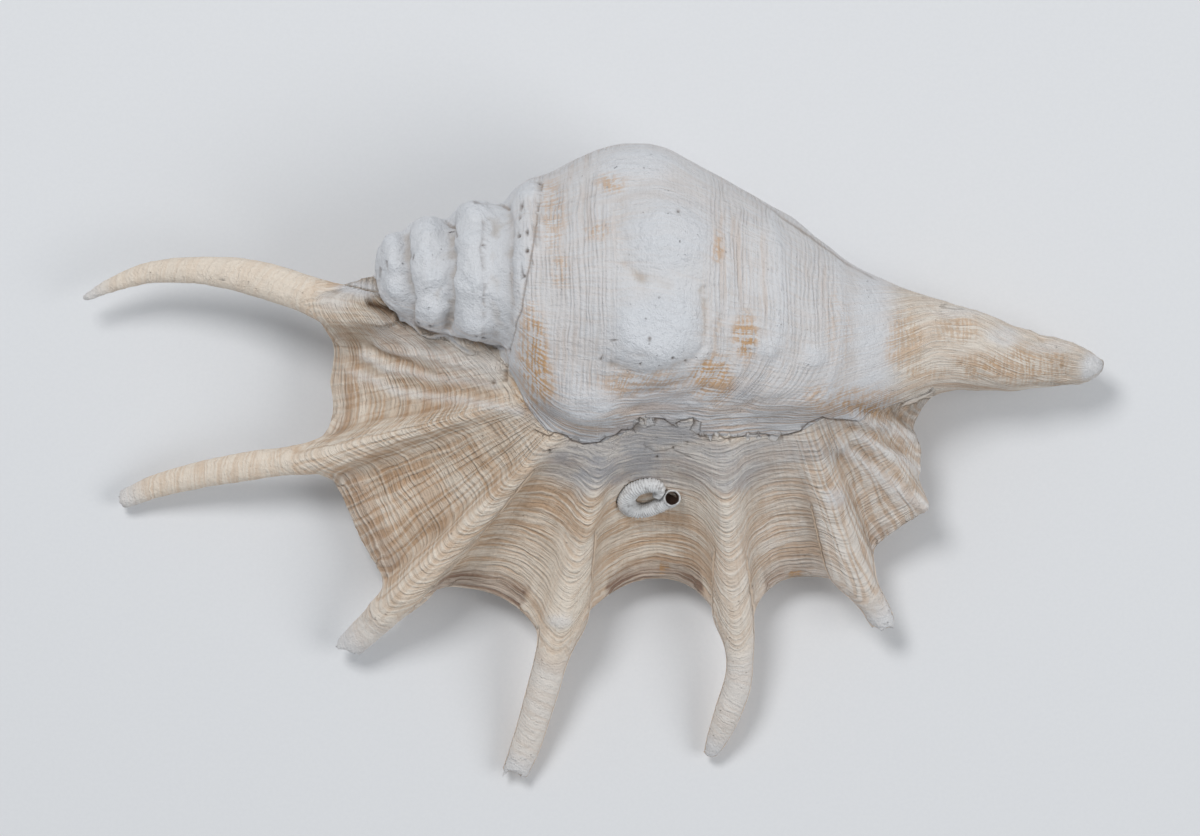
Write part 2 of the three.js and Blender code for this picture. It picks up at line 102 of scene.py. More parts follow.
# Lines that the lip follows: inner x, y, z, edge x, y, z, and how much of a rib runs along it
LIP = np.array([
    [-62, 36, 41, -75, 37.2, 35, 0.1], [-57, 33, 43, -81, 36.4, 34, 0.7],
    [-51, 29.4, 44.6, -84.6, 34, 33, 1], [-44, 26.6, 46, -83.4, 28.8, 28, 0.6],
    [-37, 23.4, 47.4, -79.2, 23.2, 23, 0.2], [-31, 20.4, 49, -78.4, 18.4, 20, 0.1],
    [-26, 16.6, 48.8, -79.4, 10, 19, 0], [-22.4, 13, 50.4, -78.6, 3, 19, 0],
    [-19.6, 9.4, 51.4, -81, -4.6, 19, 0.15], [-18, 7.6, 52, -87, -8.6, 17, 0.8],
    [-17, 6.6, 52.4, -91, -12.2, 15, 1], [-16, 5.6, 52.8, -86, -15.8, 16, 0.75],
    [-14.6, 4.6, 53.4, -78.6, -19, 15, 0.15], [-13, 3.4, 53.8, -74.6, -27, 14, 0],
    [-11.4, 2.4, 54.4, -69.4, -38.4, 14, 0], [-9.8, 1.8, 55, -64.4, -47.6, 14, 0.25],
    [-8.2, 1.4, 55.4, -65.6, -55.2, 13, 0.9], [-6.8, 1, 55.8, -63.4, -58.6, 12, 1],
    [-5.4, 0.8, 56.2, -57, -57, 13, 0.7], [-3.8, 0.6, 56.4, -48.4, -51, 12, 0.1],
    [-2.2, 0.6, 56.6, -38.4, -50.6, 12, 0], [-0.8, 0.4, 56.8, -28.4, -53.6, 12, 0.05],
    [0.6, 0.4, 57, -20.8, -59.6, 12, 0.5], [2, 0.4, 57.2, -17.2, -66, 12, 0.95],
    [3.6, 0.4, 57.4, -12.6, -69.4, 11, 1], [5.2, 0.4, 57.4, -8.4, -65.4, 12, 0.95],
    [7, 0.4, 57.4, -2.4, -56.4, 11, 0.5], [10.4, 0.4, 57.4, 7, -49.8, 11, 0.05],
    [15.4, 0.4, 57.4, 16.4, -47.6, 11, 0], [22, 0.4, 57, 26, -49.6, 11, 0.05],
    [27.4, 0.6, 56.6, 32.8, -56, 12, 0.5], [31, 0.8, 56.2, 36.6, -65, 12, 0.95],
    [34, 1, 55.8, 40.4, -69, 11, 1], [37, 1.2, 55.4, 44.4, -64, 12, 0.95],
    [40, 1.6, 54.8, 46.4, -55, 12, 0.5], [43.6, 2, 53.8, 53, -48.6, 12, 0.05],
    [47.6, 2.6, 52.4, 63, -47, 12, 0.05], [51.4, 3.2, 51, 70.4, -49, 13, 0.5],
    [54.4, 3.8, 49.4, 75.2, -52.6, 13, 1], [57.6, 4.4, 49.2, 79.4, -52.8, 13, 0.95],
    [60.4, 5, 47.4, 81.6, -46.6, 14, 0.5], [63.4, 5.8, 45.4, 80.8, -38.6, 15, 0.1],
    [66.4, 6.6, 43.2, 88, -32.4, 16, 0.4], [69.4, 7.6, 41, 95.8, -26, 17, 0.9],
    [72.6, 8.8, 38.8, 93.4, -17, 18, 0.35], [76, 10, 36.6, 94.4, -9.4, 20, 0.3],
    [79.8, 11.6, 34.4, 91.8, -3.6, 22, 0.05], [83.8, 13.6, 32.2, 94.6, 3, 23, 0],
    [88, 16, 30, 99, 8.6, 22, 0],
])
# Fingers: the lip line that leads into each, where its rib starts, its tip, and x, y, z and radius
FINGERS = [
    (2, 0.2, "slender", [[-77, 32.6, 34.6, 6.8], [-87, 36.6, 32.6, 5.9], [-102, 41.1, 29, 5.2],
     [-117, 43.2, 25, 4.2], [-132, 42.6, 20.6, 3.3], [-144, 38.8, 16.6, 2.4], [-151.6, 35.2, 14, 1.3]]),
    (10, 0.14, "broken", [[-84, -11.6, 21.4, 5.2], [-92, -12.6, 19, 5], [-104, -14.2, 16, 4.5],
     [-117.7, -16.7, 12.2, 4], [-131.3, -20.2, 8, 3.6], [-137, -22.4, 6, 3.2],
     [-142.2, -24.6, 4.6, 2.9]]),
    (17, 0.24, "hollow", [[-55.6, -50, 22, 6.1], [-61, -55, 18.6, 5.8], [-67, -60.8, 13.6, 5],
     [-74, -67.4, 8.2, 4.1]]),
    (24, 0.42, "hollow", [[-10, -58, 21.6, 6.8], [-13.2, -67, 18.6, 5.9], [-15.7, -76, 15, 5.2],
     [-18.9, -87, 10.8, 4.7], [-22, -97, 6.8, 4.5], [-25, -104.6, 4.2, 4]]),
    (32, 0.34, "slender", [[38.8, -56, 22, 6.3], [40.9, -66, 18.6, 5.2], [40.9, -76, 14.8, 4.5],
     [38, -86, 10.8, 4.2], [35, -94, 7, 3.4], [32.6, -99.4, 4.4, 2.3]]),
    (38, 0.3, "broken", [[72, -44, 22.4, 6], [76.4, -49.6, 19.6, 5.5], [80.4, -55, 16, 4.5],
     [83.5, -60.8, 12.6, 4]]),
]

# The mouth under the body, in shares of the body's radius: angle, inner share, outer share
MOUTH = np.array([
    [247, 1.06, 1.14], [238, 0.86, 1.14], [222, 0.78, 1.16], [208, 0.7, 1.18], [194, 0.66, 1.16],
    [180, 0.64, 0.95], [162, 0.64, 0.9], [142, 0.64, 0.9], [122, 0.66, 0.9], [104, 0.7, 0.87],
])
MOUTH_ENDS = (-29.3, 93.4)
GROOVES_BELOW = [
    [[78, 1, 14, 5], [90, 9.4, 9, 4.6], [102, 14.6, 6.4, 4], [116, 16, 5.4, 3.6], [132, 15.6, 6.4, 3],
     [152, 15.4, 10.4, 2.4]],
    [[-18, 6, 36, 5], [-32, 14, 34, 4.4], [-48, 21, 30.6, 3.8], [-64, 27.4, 27.4, 3.2],
     [-84, 35.6, 25.6, 2.6], [-100, 40.4, 22.9, 1.6]],
]
SHELF = [[-54, 38, 38, 5], [-62, 37.6, 35, 4.6], [-70, 37, 33, 3.4], [-80, 36.6, 32, 1.6]]
# The worm tube, coiled once on the lip: x, y and radius from its narrow start to its open end
WORM = np.array([
    [16.6, -22.6, 1.3], [17.0, -20.4, 1.8], [14.8, -19.4, 2.0], [12.2, -19.7, 2.1], [9.3, -21.0, 2.4],
    [7.5, -23.6, 2.6], [8.6, -26.0, 2.4], [11.7, -27.0, 2.1], [15.2, -26.3, 2.0], [18.0, -24.9, 2.1],
    [20.4, -23.4, 2.5],
])
WORM_AT = (12, -23, 36.3)
WORM_SLOPE = 1.08
WORM_FACING = np.array([0.2, 0.08, 0.97])  # which way the worm tube's mouth looks

LEDGE = 0.1  # share of the lip that stays level where it leaves the body
LIP_THICK = 6.5
EDGE_THICK = 3.6
RIB_HEIGHT = 5.5
RIB_START = 2.2
FOOT_REACH = (-25, 84)  # where the filling between the body and the lip starts and ends
FOOT_ENDS = (156, 0.06)  # at those ends, the angle up the body and the share of the lip that it reaches
FOOT_MIDDLE = (138, 0.34)
FOOT_SPAN = (-72, 97)  # where the line FOOT parts the body from the lip

BODY_STEP = 0.8
BODY_ANGLES = np.arange(0, 360, 1.5)
CHIP_DEPTH = 3.4  # of the canal's broken end
FINGER_SIDES = 48
FINGER_FLATNESS = 0.88
SHELF_FLATNESS = 0.42
TUBE_SIDES = 32
TIP_CAP = ((0.86, 0.5), (0.55, 0.9), (0.2, 1.05))  # a slender tip's shares of the last radius, and how far on
# Broken tips: how ragged the rim is, how far on it starts, and how deep the hollow in it is
BROKEN_TIPS = {"hollow": (3.6, 0.9, -3.2), "broken": (2.8, 0.0, -0.6)}
SHELL_TRIANGLES = 98000  # before the faces at lines and pits are split
SMOOTHING = 4
SPLIT_LINES = (math.inf, 1.6, 0.75)  # each round splits the faces at lines whose half-width is below this
WORM_MOUTH_TURN = (0.5, 0.2, 2.2, -0.25)  # the tube's last step, which turns its mouth up: x, y, z and radius
BORE_REACH = 0.003  # how far the bore goes to each side of the mouth

WANDER_SEED, FOOT_SEED, CHIP_SEED, FINGER_SEED = 401, 411, 61, 31
RIPPLE_SEED, CORD_SEED, LUMP_SEED, CRUST_SEED = 501, 511, 521, 531

# Soft lights: place, width (the key light takes it from its setting) and power
KEY_LIGHT = ((-0.45, 0.7, 1.45), None, 11.2)
FILL_LIGHT = ((1.15, -0.2, 1.2), 1.0, 7.6)
ROOM_COLOUR = (0.9, 0.95, 1.0, 1)
ROOM_STRENGTH = 0.38
FLOOR_REACH = 4
FLOOR_HEIGHT = -0.0001

# How strongly cords show: on the body from left to right in the view from above, and on the lip by distance
# along it
BODY_CORDS = ((480, 515, 530, 600, 625, 700, 715, 835, 850, 880),
              (0.3, 0.3, 1, 1, 0.2, 0.25, 1, 0.9, 0.15, 0))
LIP_CORDS = ((0, 45, 54, 84, 93, 215, 224, 276), (0.5, 0.55, 1.0, 1.0, 0.2, 0.2, 1, 0.9))

# Where the body ends and the lip begins, in the view from above, from the spire's tip to the canal
FOOT = np.array([
    [360, 250], [379, 285], [388, 309], [400, 320], [430, 333], [455, 338], [480, 345], [506, 352],
    [512, 372], [520, 392], [530, 410], [545, 430], [560, 435], [583, 445], [600, 443], [615, 436],
    [632, 430], [640, 418], [665, 420], [693, 418], [696, 434], [740, 437], [785, 436], [800, 432],
    [823, 418], [855, 420], [890, 406], [925, 393], [942, 381],
])

# Marks on the upper side, by their place in the view from above: half-width, depth (below zero it stands
# proud), how brown and how dark it is, how far it wanders, and its points
LINES = [
    # grooves between the whorls of the spire
    (2.8, 1.5, 0.15, 0.12, 1.6, [(407, 226), (405, 250), (406, 275), (409, 300), (411, 322)]),
    (3, 1.7, 0.15, 0.12, 1.6, [(450, 208), (449, 240), (451, 270), (450, 300), (447, 328)]),
    (3, 1.2, 0.15, 0.08, 1.6, [(507, 196), (510, 225), (509, 260), (510, 300), (507, 347)]),
    (0.7, 0.35, 0.4, 0.45, 1.6, [(543, 184), (538, 215), (534, 247), (526, 276), (522, 305), (514, 330),
     (507, 351)]),
    (0.8, 0.25, 0.1, 0.35, 1.4, [(483, 215), (481, 250), (484, 290), (482, 335)]),
    (0.9, 0.4, 0.5, 0.6, 1.2, [(379, 268), (377, 285), (381, 300), (392, 311)]),
    (1.2, 0.6, 0.8, 0.5, 1.2, [(475, 205), (490, 203), (507, 207)]),
    (1.2, 0.6, 0.8, 0.5, 1.2, [(440, 217), (452, 224), (456, 236)]),
    # the hollow behind the spire's tip, painted dark: painted shade in that gap
    (2.8, 1.6, 0.9, 1, 1.4, [(369, 302), (380, 307), (391, 314)]),
    # the seam where the last whorl's flange lies against the spire, its dark line painted shadow in the seam
    (1.5, 1.2, 0.7, 0.8, 1.8, [(388, 309), (400, 320), (430, 333), (455, 338), (480, 345), (507, 351)]),
    (1.2, 0.9, 0.5, 0.4, 1.5, [(507, 351), (508, 366), (507, 380), (494, 383)]),
    (0.8, 0.2, 0.2, 0.12, 2.5, [(494, 383), (515, 395), (530, 410), (545, 430), (560, 437)]),
    # the crack along the foot of the body
    (0.55, 0.4, 0.1, 0.85, 1.4, [(535, 430), (548, 436), (553, 433), (566, 437), (571, 442), (583, 445),
     (600, 443), (606, 438), (615, 436), (622, 430), (632, 430), (638, 424), (640, 418), (647, 423),
     (655, 420), (665, 420), (672, 425), (680, 421), (693, 418), (695, 432), (700, 437), (718, 436),
     (726, 439), (740, 437), (750, 434), (765, 434), (776, 438), (785, 436), (800, 432), (808, 424),
     (823, 418), (838, 421), (855, 420)]),
    (0.6, 0.2, 0.1, 0.4, 2, [(640, 445), (655, 452), (672, 449), (690, 458)]),
    # the last whorl's flange under the spire, and the ribs between the fingers
    (12, -1.6, 0.05, 0, 2, [(388, 330), (410, 341), (430, 350), (470, 362), (494, 366)]),
    (2.6, 0.9, 0.4, 0.1, 2, [(372, 347), (390, 355), (420, 368), (460, 378), (494, 384)]),
    (4.4, -1.5, -0.5, 0, 2, [(366, 356), (387, 368), (424, 375), (473, 380), (497, 385)]),
    (3.4, -0.8, -0.1, 0, 2, [(378, 342), (390, 348), (430, 356), (470, 364)]),
    (3.4, -0.5, -0.1, 0, 2, [(350, 372), (400, 392), (460, 400), (520, 412)]),
    (4.6, -1.2, -0.3, 0, 2, [(925, 508), (895, 488), (862, 462), (840, 445)]),
    (4, -1, -0.3, 0, 2, [(915, 470), (885, 450), (858, 436)]),
    (4, -0.9, -0.3, 0, 2, [(910, 436), (880, 425), (852, 418)]),
    (3.2, 0.5, 0.5, 0.1, 2, [(912, 490), (880, 466), (850, 446)]),
    (3.2, 0.5, 0.5, 0.1, 2, [(905, 452), (870, 436), (850, 428)]),
    (3, 0.5, 0.5, 0.1, 2, [(903, 420), (872, 410), (850, 408)]),
    # edges of worn layers on the shoulder and round the great knob
    (3, 0.35, 0, 0, 2, [(545, 205), (570, 196), (600, 192), (650, 191), (690, 196), (715, 212),
     (735, 240)]),
    (3.2, 0.8, 0.15, 0, 2, [(702, 290), (707, 318), (703, 345), (690, 362), (664, 372), (636, 373),
     (610, 366)]),
    (3.4, 0.6, 0.1, 0, 2, [(622, 200), (618, 225), (622, 262), (640, 276)]),
    (0.8, 0.2, 0.4, 0.7, 1.6, [(763, 202), (781, 216), (798, 228), (826, 250), (848, 264), (872, 277)]),
    # creases that sweep down from the great knob
    (2.6, 0.5, 0.25, 0, 2, [(735, 330), (728, 362), (706, 388), (668, 402), (632, 410)]),
    (2.4, 0.5, 0.3, 0, 2, [(720, 320), (714, 352), (696, 378), (660, 392), (622, 398)]),
    (2.6, 0.5, 0.2, 0, 2, [(752, 340), (744, 376), (720, 402), (684, 414), (650, 418)]),
    (2.6, 0.4, 0.15, 0, 2, [(775, 350), (768, 385), (745, 410), (715, 422)]),
    # swelling rings towards the canal
    (5, -0.6, 0, 0, 2, [(772, 215), (778, 260), (780, 310), (772, 360)]),
    (4, -0.5, 0, 0, 2, [(838, 265), (842, 310), (838, 360), (828, 395)]),
    (3, 0.4, 0.15, 0, 2, [(722, 425), (760, 419), (800, 412), (850, 402)]),
    (3, 0.4, 0.15, 0, 2, [(735, 408), (780, 400), (830, 390)]),
    # turns of the canal's end
    (2.6, 0.45, 0.3, 0, 2, [(1000, 335), (1022, 352), (1034, 372), (1038, 392)]),
    (2.6, 0.4, 0.3, 0, 2, [(1040, 340), (1058, 356), (1066, 378)]),
    (2, 0.35, 0.2, 0, 2, [(930, 305), (975, 330), (1003, 372)]),
    (2, 0.35, 0.2, 0, 2, [(905, 330), (950, 352), (975, 380)]),
]
# Blots on the upper side: middle, half-width, half-height, depth, brown, white, grey (a grey tone, which
# under the body also serves as painted shade)
BLOTS = [
    (657, 325, 50, 46, -1, 0, 1, 0), (670, 236, 46, 36, -0.6, 0, 0.8, 0),
    (635, 162, 44, 18, -0.5, 0, 0.7, 0), (588, 405, 28, 20, -0.9, 0, 0.7, 0),
    (585, 408, 10, 9, 0.5, 0.2, 0, 0.2), (766, 348, 12, 10, -0.9, 0, 0.6, 0),
    (814, 358, 12, 10, -0.9, 0, 0.6, 0),
    # knobs of the spire
    (392, 243, 11, 10, -0.9, 0, 0.9, 0), (393, 266, 10, 10, -0.7, 0, 0.9, 0),
    (395, 290, 11, 11, -0.9, 0, 0.9, 0), (428, 228, 16, 11, -0.9, 0, 0.9, 0),
    (426, 254, 14, 10, -0.6, 0, 0.9, 0), (434, 278, 12, 12, -0.7, 0, 0.9, 0),
    (428, 312, 17, 13, -1.2, 0, 0.9, 0), (473, 212, 18, 10, -0.9, 0, 0.9, 0),
    (470, 238, 14, 12, -0.5, 0, 0.9, 0), (469, 284, 15, 15, -1.1, 0, 0.9, 0),
    (468, 284, 7, 7, 0.9, 0, 0.5, 0), (476, 322, 20, 15, -0.8, 0, 0.9, 0),
    (526, 190, 14, 11, -0.8, 0, 0.8, 0), (519, 262, 9, 30, -0.3, 0, 0.8, 0),
    (868, 325, 15, 66, 0, -0.3, 0.5, 0),
    # stains
    (553, 215, 12, 42, 0, 0.5, 0, 0), (535, 385, 24, 36, 0.1, 0.9, 0, 0), (531, 342, 18, 44, 0, 1, 0, 0),
    (560, 270, 10, 18, 0, 0.6, 0, 0), (613, 182, 17, 12, 0, 0.7, 0, 0), (598, 230, 13, 9, 0, 0.7, 0, 0),
    (718, 246, 7, 18, 0.1, 0.8, 0, 0), (712, 382, 22, 26, 0.1, 1, 0, 0.1), (746, 335, 13, 26, 0, 0.9, 0, 0),
    (640, 384, 46, 14, 0.1, 0.7, 0, 0.15), (838, 330, 12, 50, 0, 0.4, 0, 0),
    (850, 402, 55, 20, 0, 0.7, 0, 0.2), (905, 340, 20, 36, 0, 0.6, 0, 0), (955, 330, 26, 14, 0, 0.8, 0, 0),
    (975, 365, 22, 14, 0, 0.8, 0, 0), (1002, 335, 20, 12, 0, -0.4, 0.7, 0),
    (960, 312, 34, 8, 0, -0.3, 0.5, 0), (1050, 348, 30, 8, 0, -0.3, 0.5, 0),
    (930, 372, 26, 8, 0, 0.6, 0, 0), (1030, 366, 50, 24, 0, 0.9, 0, 0), (1094, 368, 14, 18, 0, -0.6, 1, 0),
    # the first blot on this line and the first two on the next whiten the first finger's root and the flange
    # under the spire: the callus's own white, laid on more strongly as painted light to lift the shade there
    (357, 290, 24, 10, -0.5, -0.6, 1, 0), (1094, 368, 16, 24, 0, -0.5, 1, 0),
    (335, 300, 20, 12, 0, 0, 0.45, 0), (420, 345, 46, 12, 0, 0, 0.3, 0), (396, 334, 18, 14, 0, 0.7, 0, 0),
    (663, 572, 6, 5, 0.3, 1.4, 0, 0.2), (795, 574, 6, 5, 0.3, 1.3, 0, 0.2),
    (560, 621, 14, 8, -0.6, 0, 0.55, 0), (835, 497, 11, 11, -0.8, 0, 0.7, 0),
    # grey tone in the valley at the body's foot and on the body's low side: partly the shell's own grey,
    # partly painted shade where the body keeps the light off the valley
    (660, 432, 60, 16, 0, -0.5, 0.2, 0.9), (780, 452, 60, 14, 0, -0.3, 0.1, 0.6),
    (612, 462, 74, 32, 0, -0.6, 0.3, 0.9), (700, 468, 90, 26, 0, -0.5, 0.2, 0.7),
    (690, 400, 90, 24, 0, 0, 0, 0.5), (800, 415, 80, 18, 0, 0, 0, 0.35), (540, 412, 26, 16, 0, 0, 0, 0.4),
]
# Small pits and chips: middle, radius, depth
PITS = [
    (540, 183, 2.4, 1.0), (522, 206, 2.2, 1.0), (520, 218, 2.0, 0.9), (519, 236, 2.6, 1.1),
    (527, 232, 2.0, 0.9), (527, 251, 2.6, 1.1), (524, 276, 2.4, 1.0), (483, 245, 1.8, 0.6),
    (412, 258, 2.0, 0.8), (387, 262, 2.0, 0.8), (413, 302, 2.4, 0.9), (418, 323, 2.6, 1.0),
    (430, 325, 2.4, 0.9), (476, 335, 2.0, 0.8), (483, 338, 2.2, 0.8), (549, 452, 2.8, 0.9),
    (673, 448, 1.6, 0.7), (688, 443, 1.6, 0.7), (657, 457, 1.6, 0.7), (615, 340, 1.6, 0.5),
    (600, 360, 1.8, 0.5), (618, 360, 1.6, 0.5), (640, 364, 1.8, 0.5), (672, 357, 2.2, 0.6),
    (686, 362, 2.0, 0.6), (650, 338, 2.6, 0.5), (678, 212, 2.2, 0.5),
]


def bell(away):
    return np.exp(-0.5 * away * away)


def mix(a, b, t):
    return a + (b - a) * t


def ease(low, high, value):
    """0 below low and 1 above high, smooth between."""
    t = np.clip((value - low) / (high - low), 0, 1)
    return t * t * (3 - 2 * t)


def curve(rows, at, key=None):
    """Rows read on a smooth curve at places along their first column, or along key."""
    key = rows[:, 0] if key is None else key
    last = len(key) - 1
    back = np.maximum(np.arange(last + 1) - 1, 0)
    ahead = np.minimum(np.arange(last + 1) + 1, last)
    slope = (rows[ahead] - rows[back]) / (key[ahead] - key[back])[:, None]
    i = np.searchsorted(key[1:-1], at, side="left")
    h = (key[i + 1] - key[i])[:, None]
    t = np.clip((at - key[i])[:, None] / h, 0, 1)
    rise = h * t * (1 - t) * ((1 - t) * slope[i] - t * slope[i + 1])
    return mix(rows[i], rows[i + 1], t * t * (3 - 2 * t)) + rise


def numbered_curve(rows, steps):
    """Rows with extra ones between them, steps to each."""
    rows = np.asarray(rows, float)
    count = len(rows) - 1
    return curve(rows, np.linspace(0, count, count * steps + 1), np.arange(count + 1.0))


def lattice(points, seed):
    """Smooth noise from -1 to 1 at points, the same each time for a seed."""
    cell = np.floor(points).astype(np.int64)
    part = points - cell
    part = part * part * (3 - 2 * part)
    total = np.zeros(len(points))
    for corner in itertools.product((0, 1), repeat=3):
        x, y, z = (cell + corner).T.astype(np.uint64)
        key = x * np.uint64(374761393) + y * np.uint64(668265263) + z * np.uint64(2147483647)
        key = (key + np.uint64(seed * 974634777)) & np.uint64(0xFFFFFFFF)
        key = ((key ^ (key >> np.uint64(13))) * np.uint64(1274126177)) & np.uint64(0xFFFFFFFF)
        value = ((key ^ (key >> np.uint64(16))) & np.uint64(0xFFFF)).astype(float) / 32767.5 - 1
        share = np.prod(np.where(np.array(corner) == 1, part, 1 - part), axis=1)
        total += value * share
    return total


def rough(points, size, seed, octaves=3):
    """Noise of several sizes, each half as wide and half as strong as the one before."""
    total = 0
    for k in range(octaves):
        total = total + lattice(np.asarray(points) / size * 2**k, seed + k) / 2**k
    return total / 1.5


def body_frame(x):
    """The body's axis y and z at x, and how far its four sides stand from it."""
    _, far, near, top, bottom = curve(BODY, x).T
    _, y, z = curve(AXIS, x).T
    return y, z, far - y, y - near, top - z, z - bottom


def knob_lift(x, angle):
    lift = np.zeros(np.broadcast(x, angle).shape)
    for kx, ka, height, long, wide in KNOBS:
        lift = lift + height * bell((x - kx) / long * 1.5) * bell((angle - ka) / wide * 1.3)
    for kx, first, step, count, height, long in SPIRE_KNOBS:
        for k in range(count):
            turn = (angle - first - k * step) / step
            lift = lift + height * bell((x - kx) / long * 1.5) * bell(turn * 3.2)
    return lift


def body_points(x, angle, share=1.0, lifted=True):
    """Points of the body for each x and each angle in degrees, as rings."""
    y, z, far, near, top, bottom = (side[:, None] for side in body_frame(x))
    c, s = np.cos(np.radians(angle))[None], np.sin(np.radians(angle))[None]
    lift = knob_lift(x[:, None], angle[None]) if lifted else 0.0
    across = y + c * (np.where(c > 0, far, near) * share + lift)
    height = z + s * (np.where(s > 0, top, bottom) * share + lift)
    return np.stack([np.broadcast_to(x[:, None], across.shape), across, height], axis=-1)


def lip_fall(v):
    left = np.minimum(1, (1 - v) / (1 - LEDGE))
    return 0.78 * left**1.5 + 0.22 * left**0.5


def lip_points(lines, v):
    """Points of the lip's upper face at shares v of the way out along lines, as rings."""
    x0, y0, z0, x1, y1, z1, rib = (column[..., None] for column in np.moveaxis(lines, -1, 0))
    raised = RIB_HEIGHT * np.maximum(0, rib) * np.sin(np.minimum(1, v * 1.05) * np.pi / 2) ** 2
    return np.stack([mix(x0, x1, v), mix(y0, y1, v), mix(z1, z0, lip_fall(v)) + raised], axis=-1)


def tube(rows, sides, flatness=1.0, steps=10):
    """Rings of a tube along rows of x, y, z and radius."""
    places = numbered_curve(rows, steps)
    centre, radius = places[:, :3], places[:, 3, None, None]
    along = np.gradient(centre, axis=0)
    along /= np.linalg.norm(along, axis=1)[:, None]
    across = np.cross(along, (0, 0, 1))
    across /= np.linalg.norm(across, axis=1)[:, None]
    lifted = np.cross(across, along)
    turn = np.linspace(0, 2 * np.pi, sides, endpoint=False)[None, :, None]
    ring = np.cos(turn) * across[:, None] + np.sin(turn) * flatness * lifted[:, None]
    return centre[:, None] + radius * ring


def loft(rings):
    """Points and faces of a closed skin through rings, its two ends filled by rungs."""
    count, sides = rings.shape[:2]
    points = rings.reshape(-1, 3)
    j = np.arange(sides)
    start = (np.arange(count - 1) * sides)[:, None]
    a, b = start + j, start + (j + 1) % sides
    faces = [tuple(quad) for quad in np.stack([a, b, b + sides, a + sides], -1).reshape(-1, 4).tolist()]
    last = (count - 1) * sides
    low, high = 0, sides - 1
    while low + 1 < high:
        rung = [low, high, high - 1, low + 1] if high - 1 > low + 1 else [low, high, low + 1]
        faces += [tuple(rung), tuple(last + k for k in reversed(rung))]
        low, high = low + 1, high - 1
    return points, faces


def solid(name, lofts):
    """An object holding several closed skins, turned right side out."""
    points, faces, start = [], [], 0
    for some, theirs in lofts:
        points.append(some)
        faces += [tuple(k + start for k in face) for face in theirs]
        start += len(some)
    mesh = bpy.data.meshes.new(name)
    mesh.from_pydata(np.concatenate(points).tolist(), [], faces)
    made = bmesh.new()
    made.from_mesh(mesh)
    bmesh.ops.remove_doubles(made, verts=made.verts, dist=1e-5)
    bmesh.ops.recalc_face_normals(made, faces=made.faces)
    made.to_mesh(mesh)
    made.free()
    obj = bpy.data.objects.new(name, mesh)
    bpy.context.scene.collection.objects.link(obj)
    return obj


def modified(obj, kind, **values):
    """The object with one modifier turned into plain mesh."""
    modifier = obj.modifiers.new(kind, kind)
    for key, value in values.items():
        setattr(modifier, key, value)
    mesh = bpy.data.meshes.new_from_object(obj.evaluated_get(bpy.context.evaluated_depsgraph_get()))
    obj.modifiers.clear()
    before, obj.data = obj.data, mesh
    bpy.data.meshes.remove(before)
    return obj


def foot_rings():
    """The hollow-faced filling between the body's side and the lip."""
    x = np.linspace(FOOT_REACH[0], FOOT_REACH[1], 98)
    wide = np.sin(np.pi * np.linspace(0.03, 0.97, len(x))) ** 0.5
    lines = curve(LIP, x)
    angle, share = (mix(end, middle, wide) for end, middle in zip(FOOT_ENDS, FOOT_MIDDLE))
    rings = []
    for k, t in enumerate(wide):
        high = body_points(x[k : k + 1], angle[k : k + 1], 0.99)[0, 0]
        low, sunk, inner = lip_points(lines[k : k + 1], np.array([share[k], share[k] * 0.6, 0]))[0]
        crease = inner + (0, -7 * t, 1.5 * t)
        u = np.linspace(0, 1, 15)[:, None]
        face = (1 - u) ** 2 * high + 2 * u * (1 - u) * crease + u * u * low
        rings.append(np.vstack([face, sunk - (0, 0, 2), inner - (0, 0, 2)]))
    return np.array(rings)


def finger_rows(finger):
    """The centre line and radius of a finger, from where its rib rises on the lip to its tip."""
    line, start, _, rows = finger
    lip = LIP[line]
    span = math.hypot(lip[3] - lip[0], lip[4] - lip[1])
    out = math.hypot(rows[0][0] - lip[0], rows[0][1] - lip[1]) / span
    lead = []
    for t in (0.0, 0.5):
        radius = mix(RIB_START, rows[0][3], t * 1.1)
        x, y, z = lip_points(lip[None], np.array([mix(start, out, t)]))[0, 0]
        lead.append([x, y, z - radius * 0.35, radius])
    return np.array(lead + [list(row) for row in rows])


def ring_noise(turn, size, level, seed):
    """Noise round a ring, from -1 to 1."""
    return lattice(np.stack([np.cos(turn) * size, np.sin(turn) * size, turn * 0 + level], 1), seed)


def finger_rings(finger, seed):
    """A finger whose broken tips end in a ragged rim."""
    rings = tube(finger_rows(finger), FINGER_SIDES, FINGER_FLATNESS)
    ending = finger[2]
    centre = rings.mean(axis=1)
    along = centre[-1] - centre[-3]
    along /= np.linalg.norm(along)
    if ending == "slender":
        cap = [centre[-1] + (rings[-1] - centre[-1]) * k + along * d for k, d in TIP_CAP]
        return np.concatenate([rings, np.array(cap)])
    ragged, further, deep = BROKEN_TIPS[ending]
    turn = np.linspace(0, 2 * np.pi, FINGER_SIDES, endpoint=False)
    reach = ragged * ring_noise(turn, 2.6, seed, seed) + further
    rings[-1] += reach[:, None] * along
    rings[-2] += (reach * 0.5)[:, None] * along
    spread = rings[-1] - centre[-1]
    inner = centre[-1] + spread * 0.55 + along * deep * 0.4
    core = centre[-1] + spread * 0.3 + along * (deep - 0.6)
    return np.concatenate([rings, inner[None], core[None]])


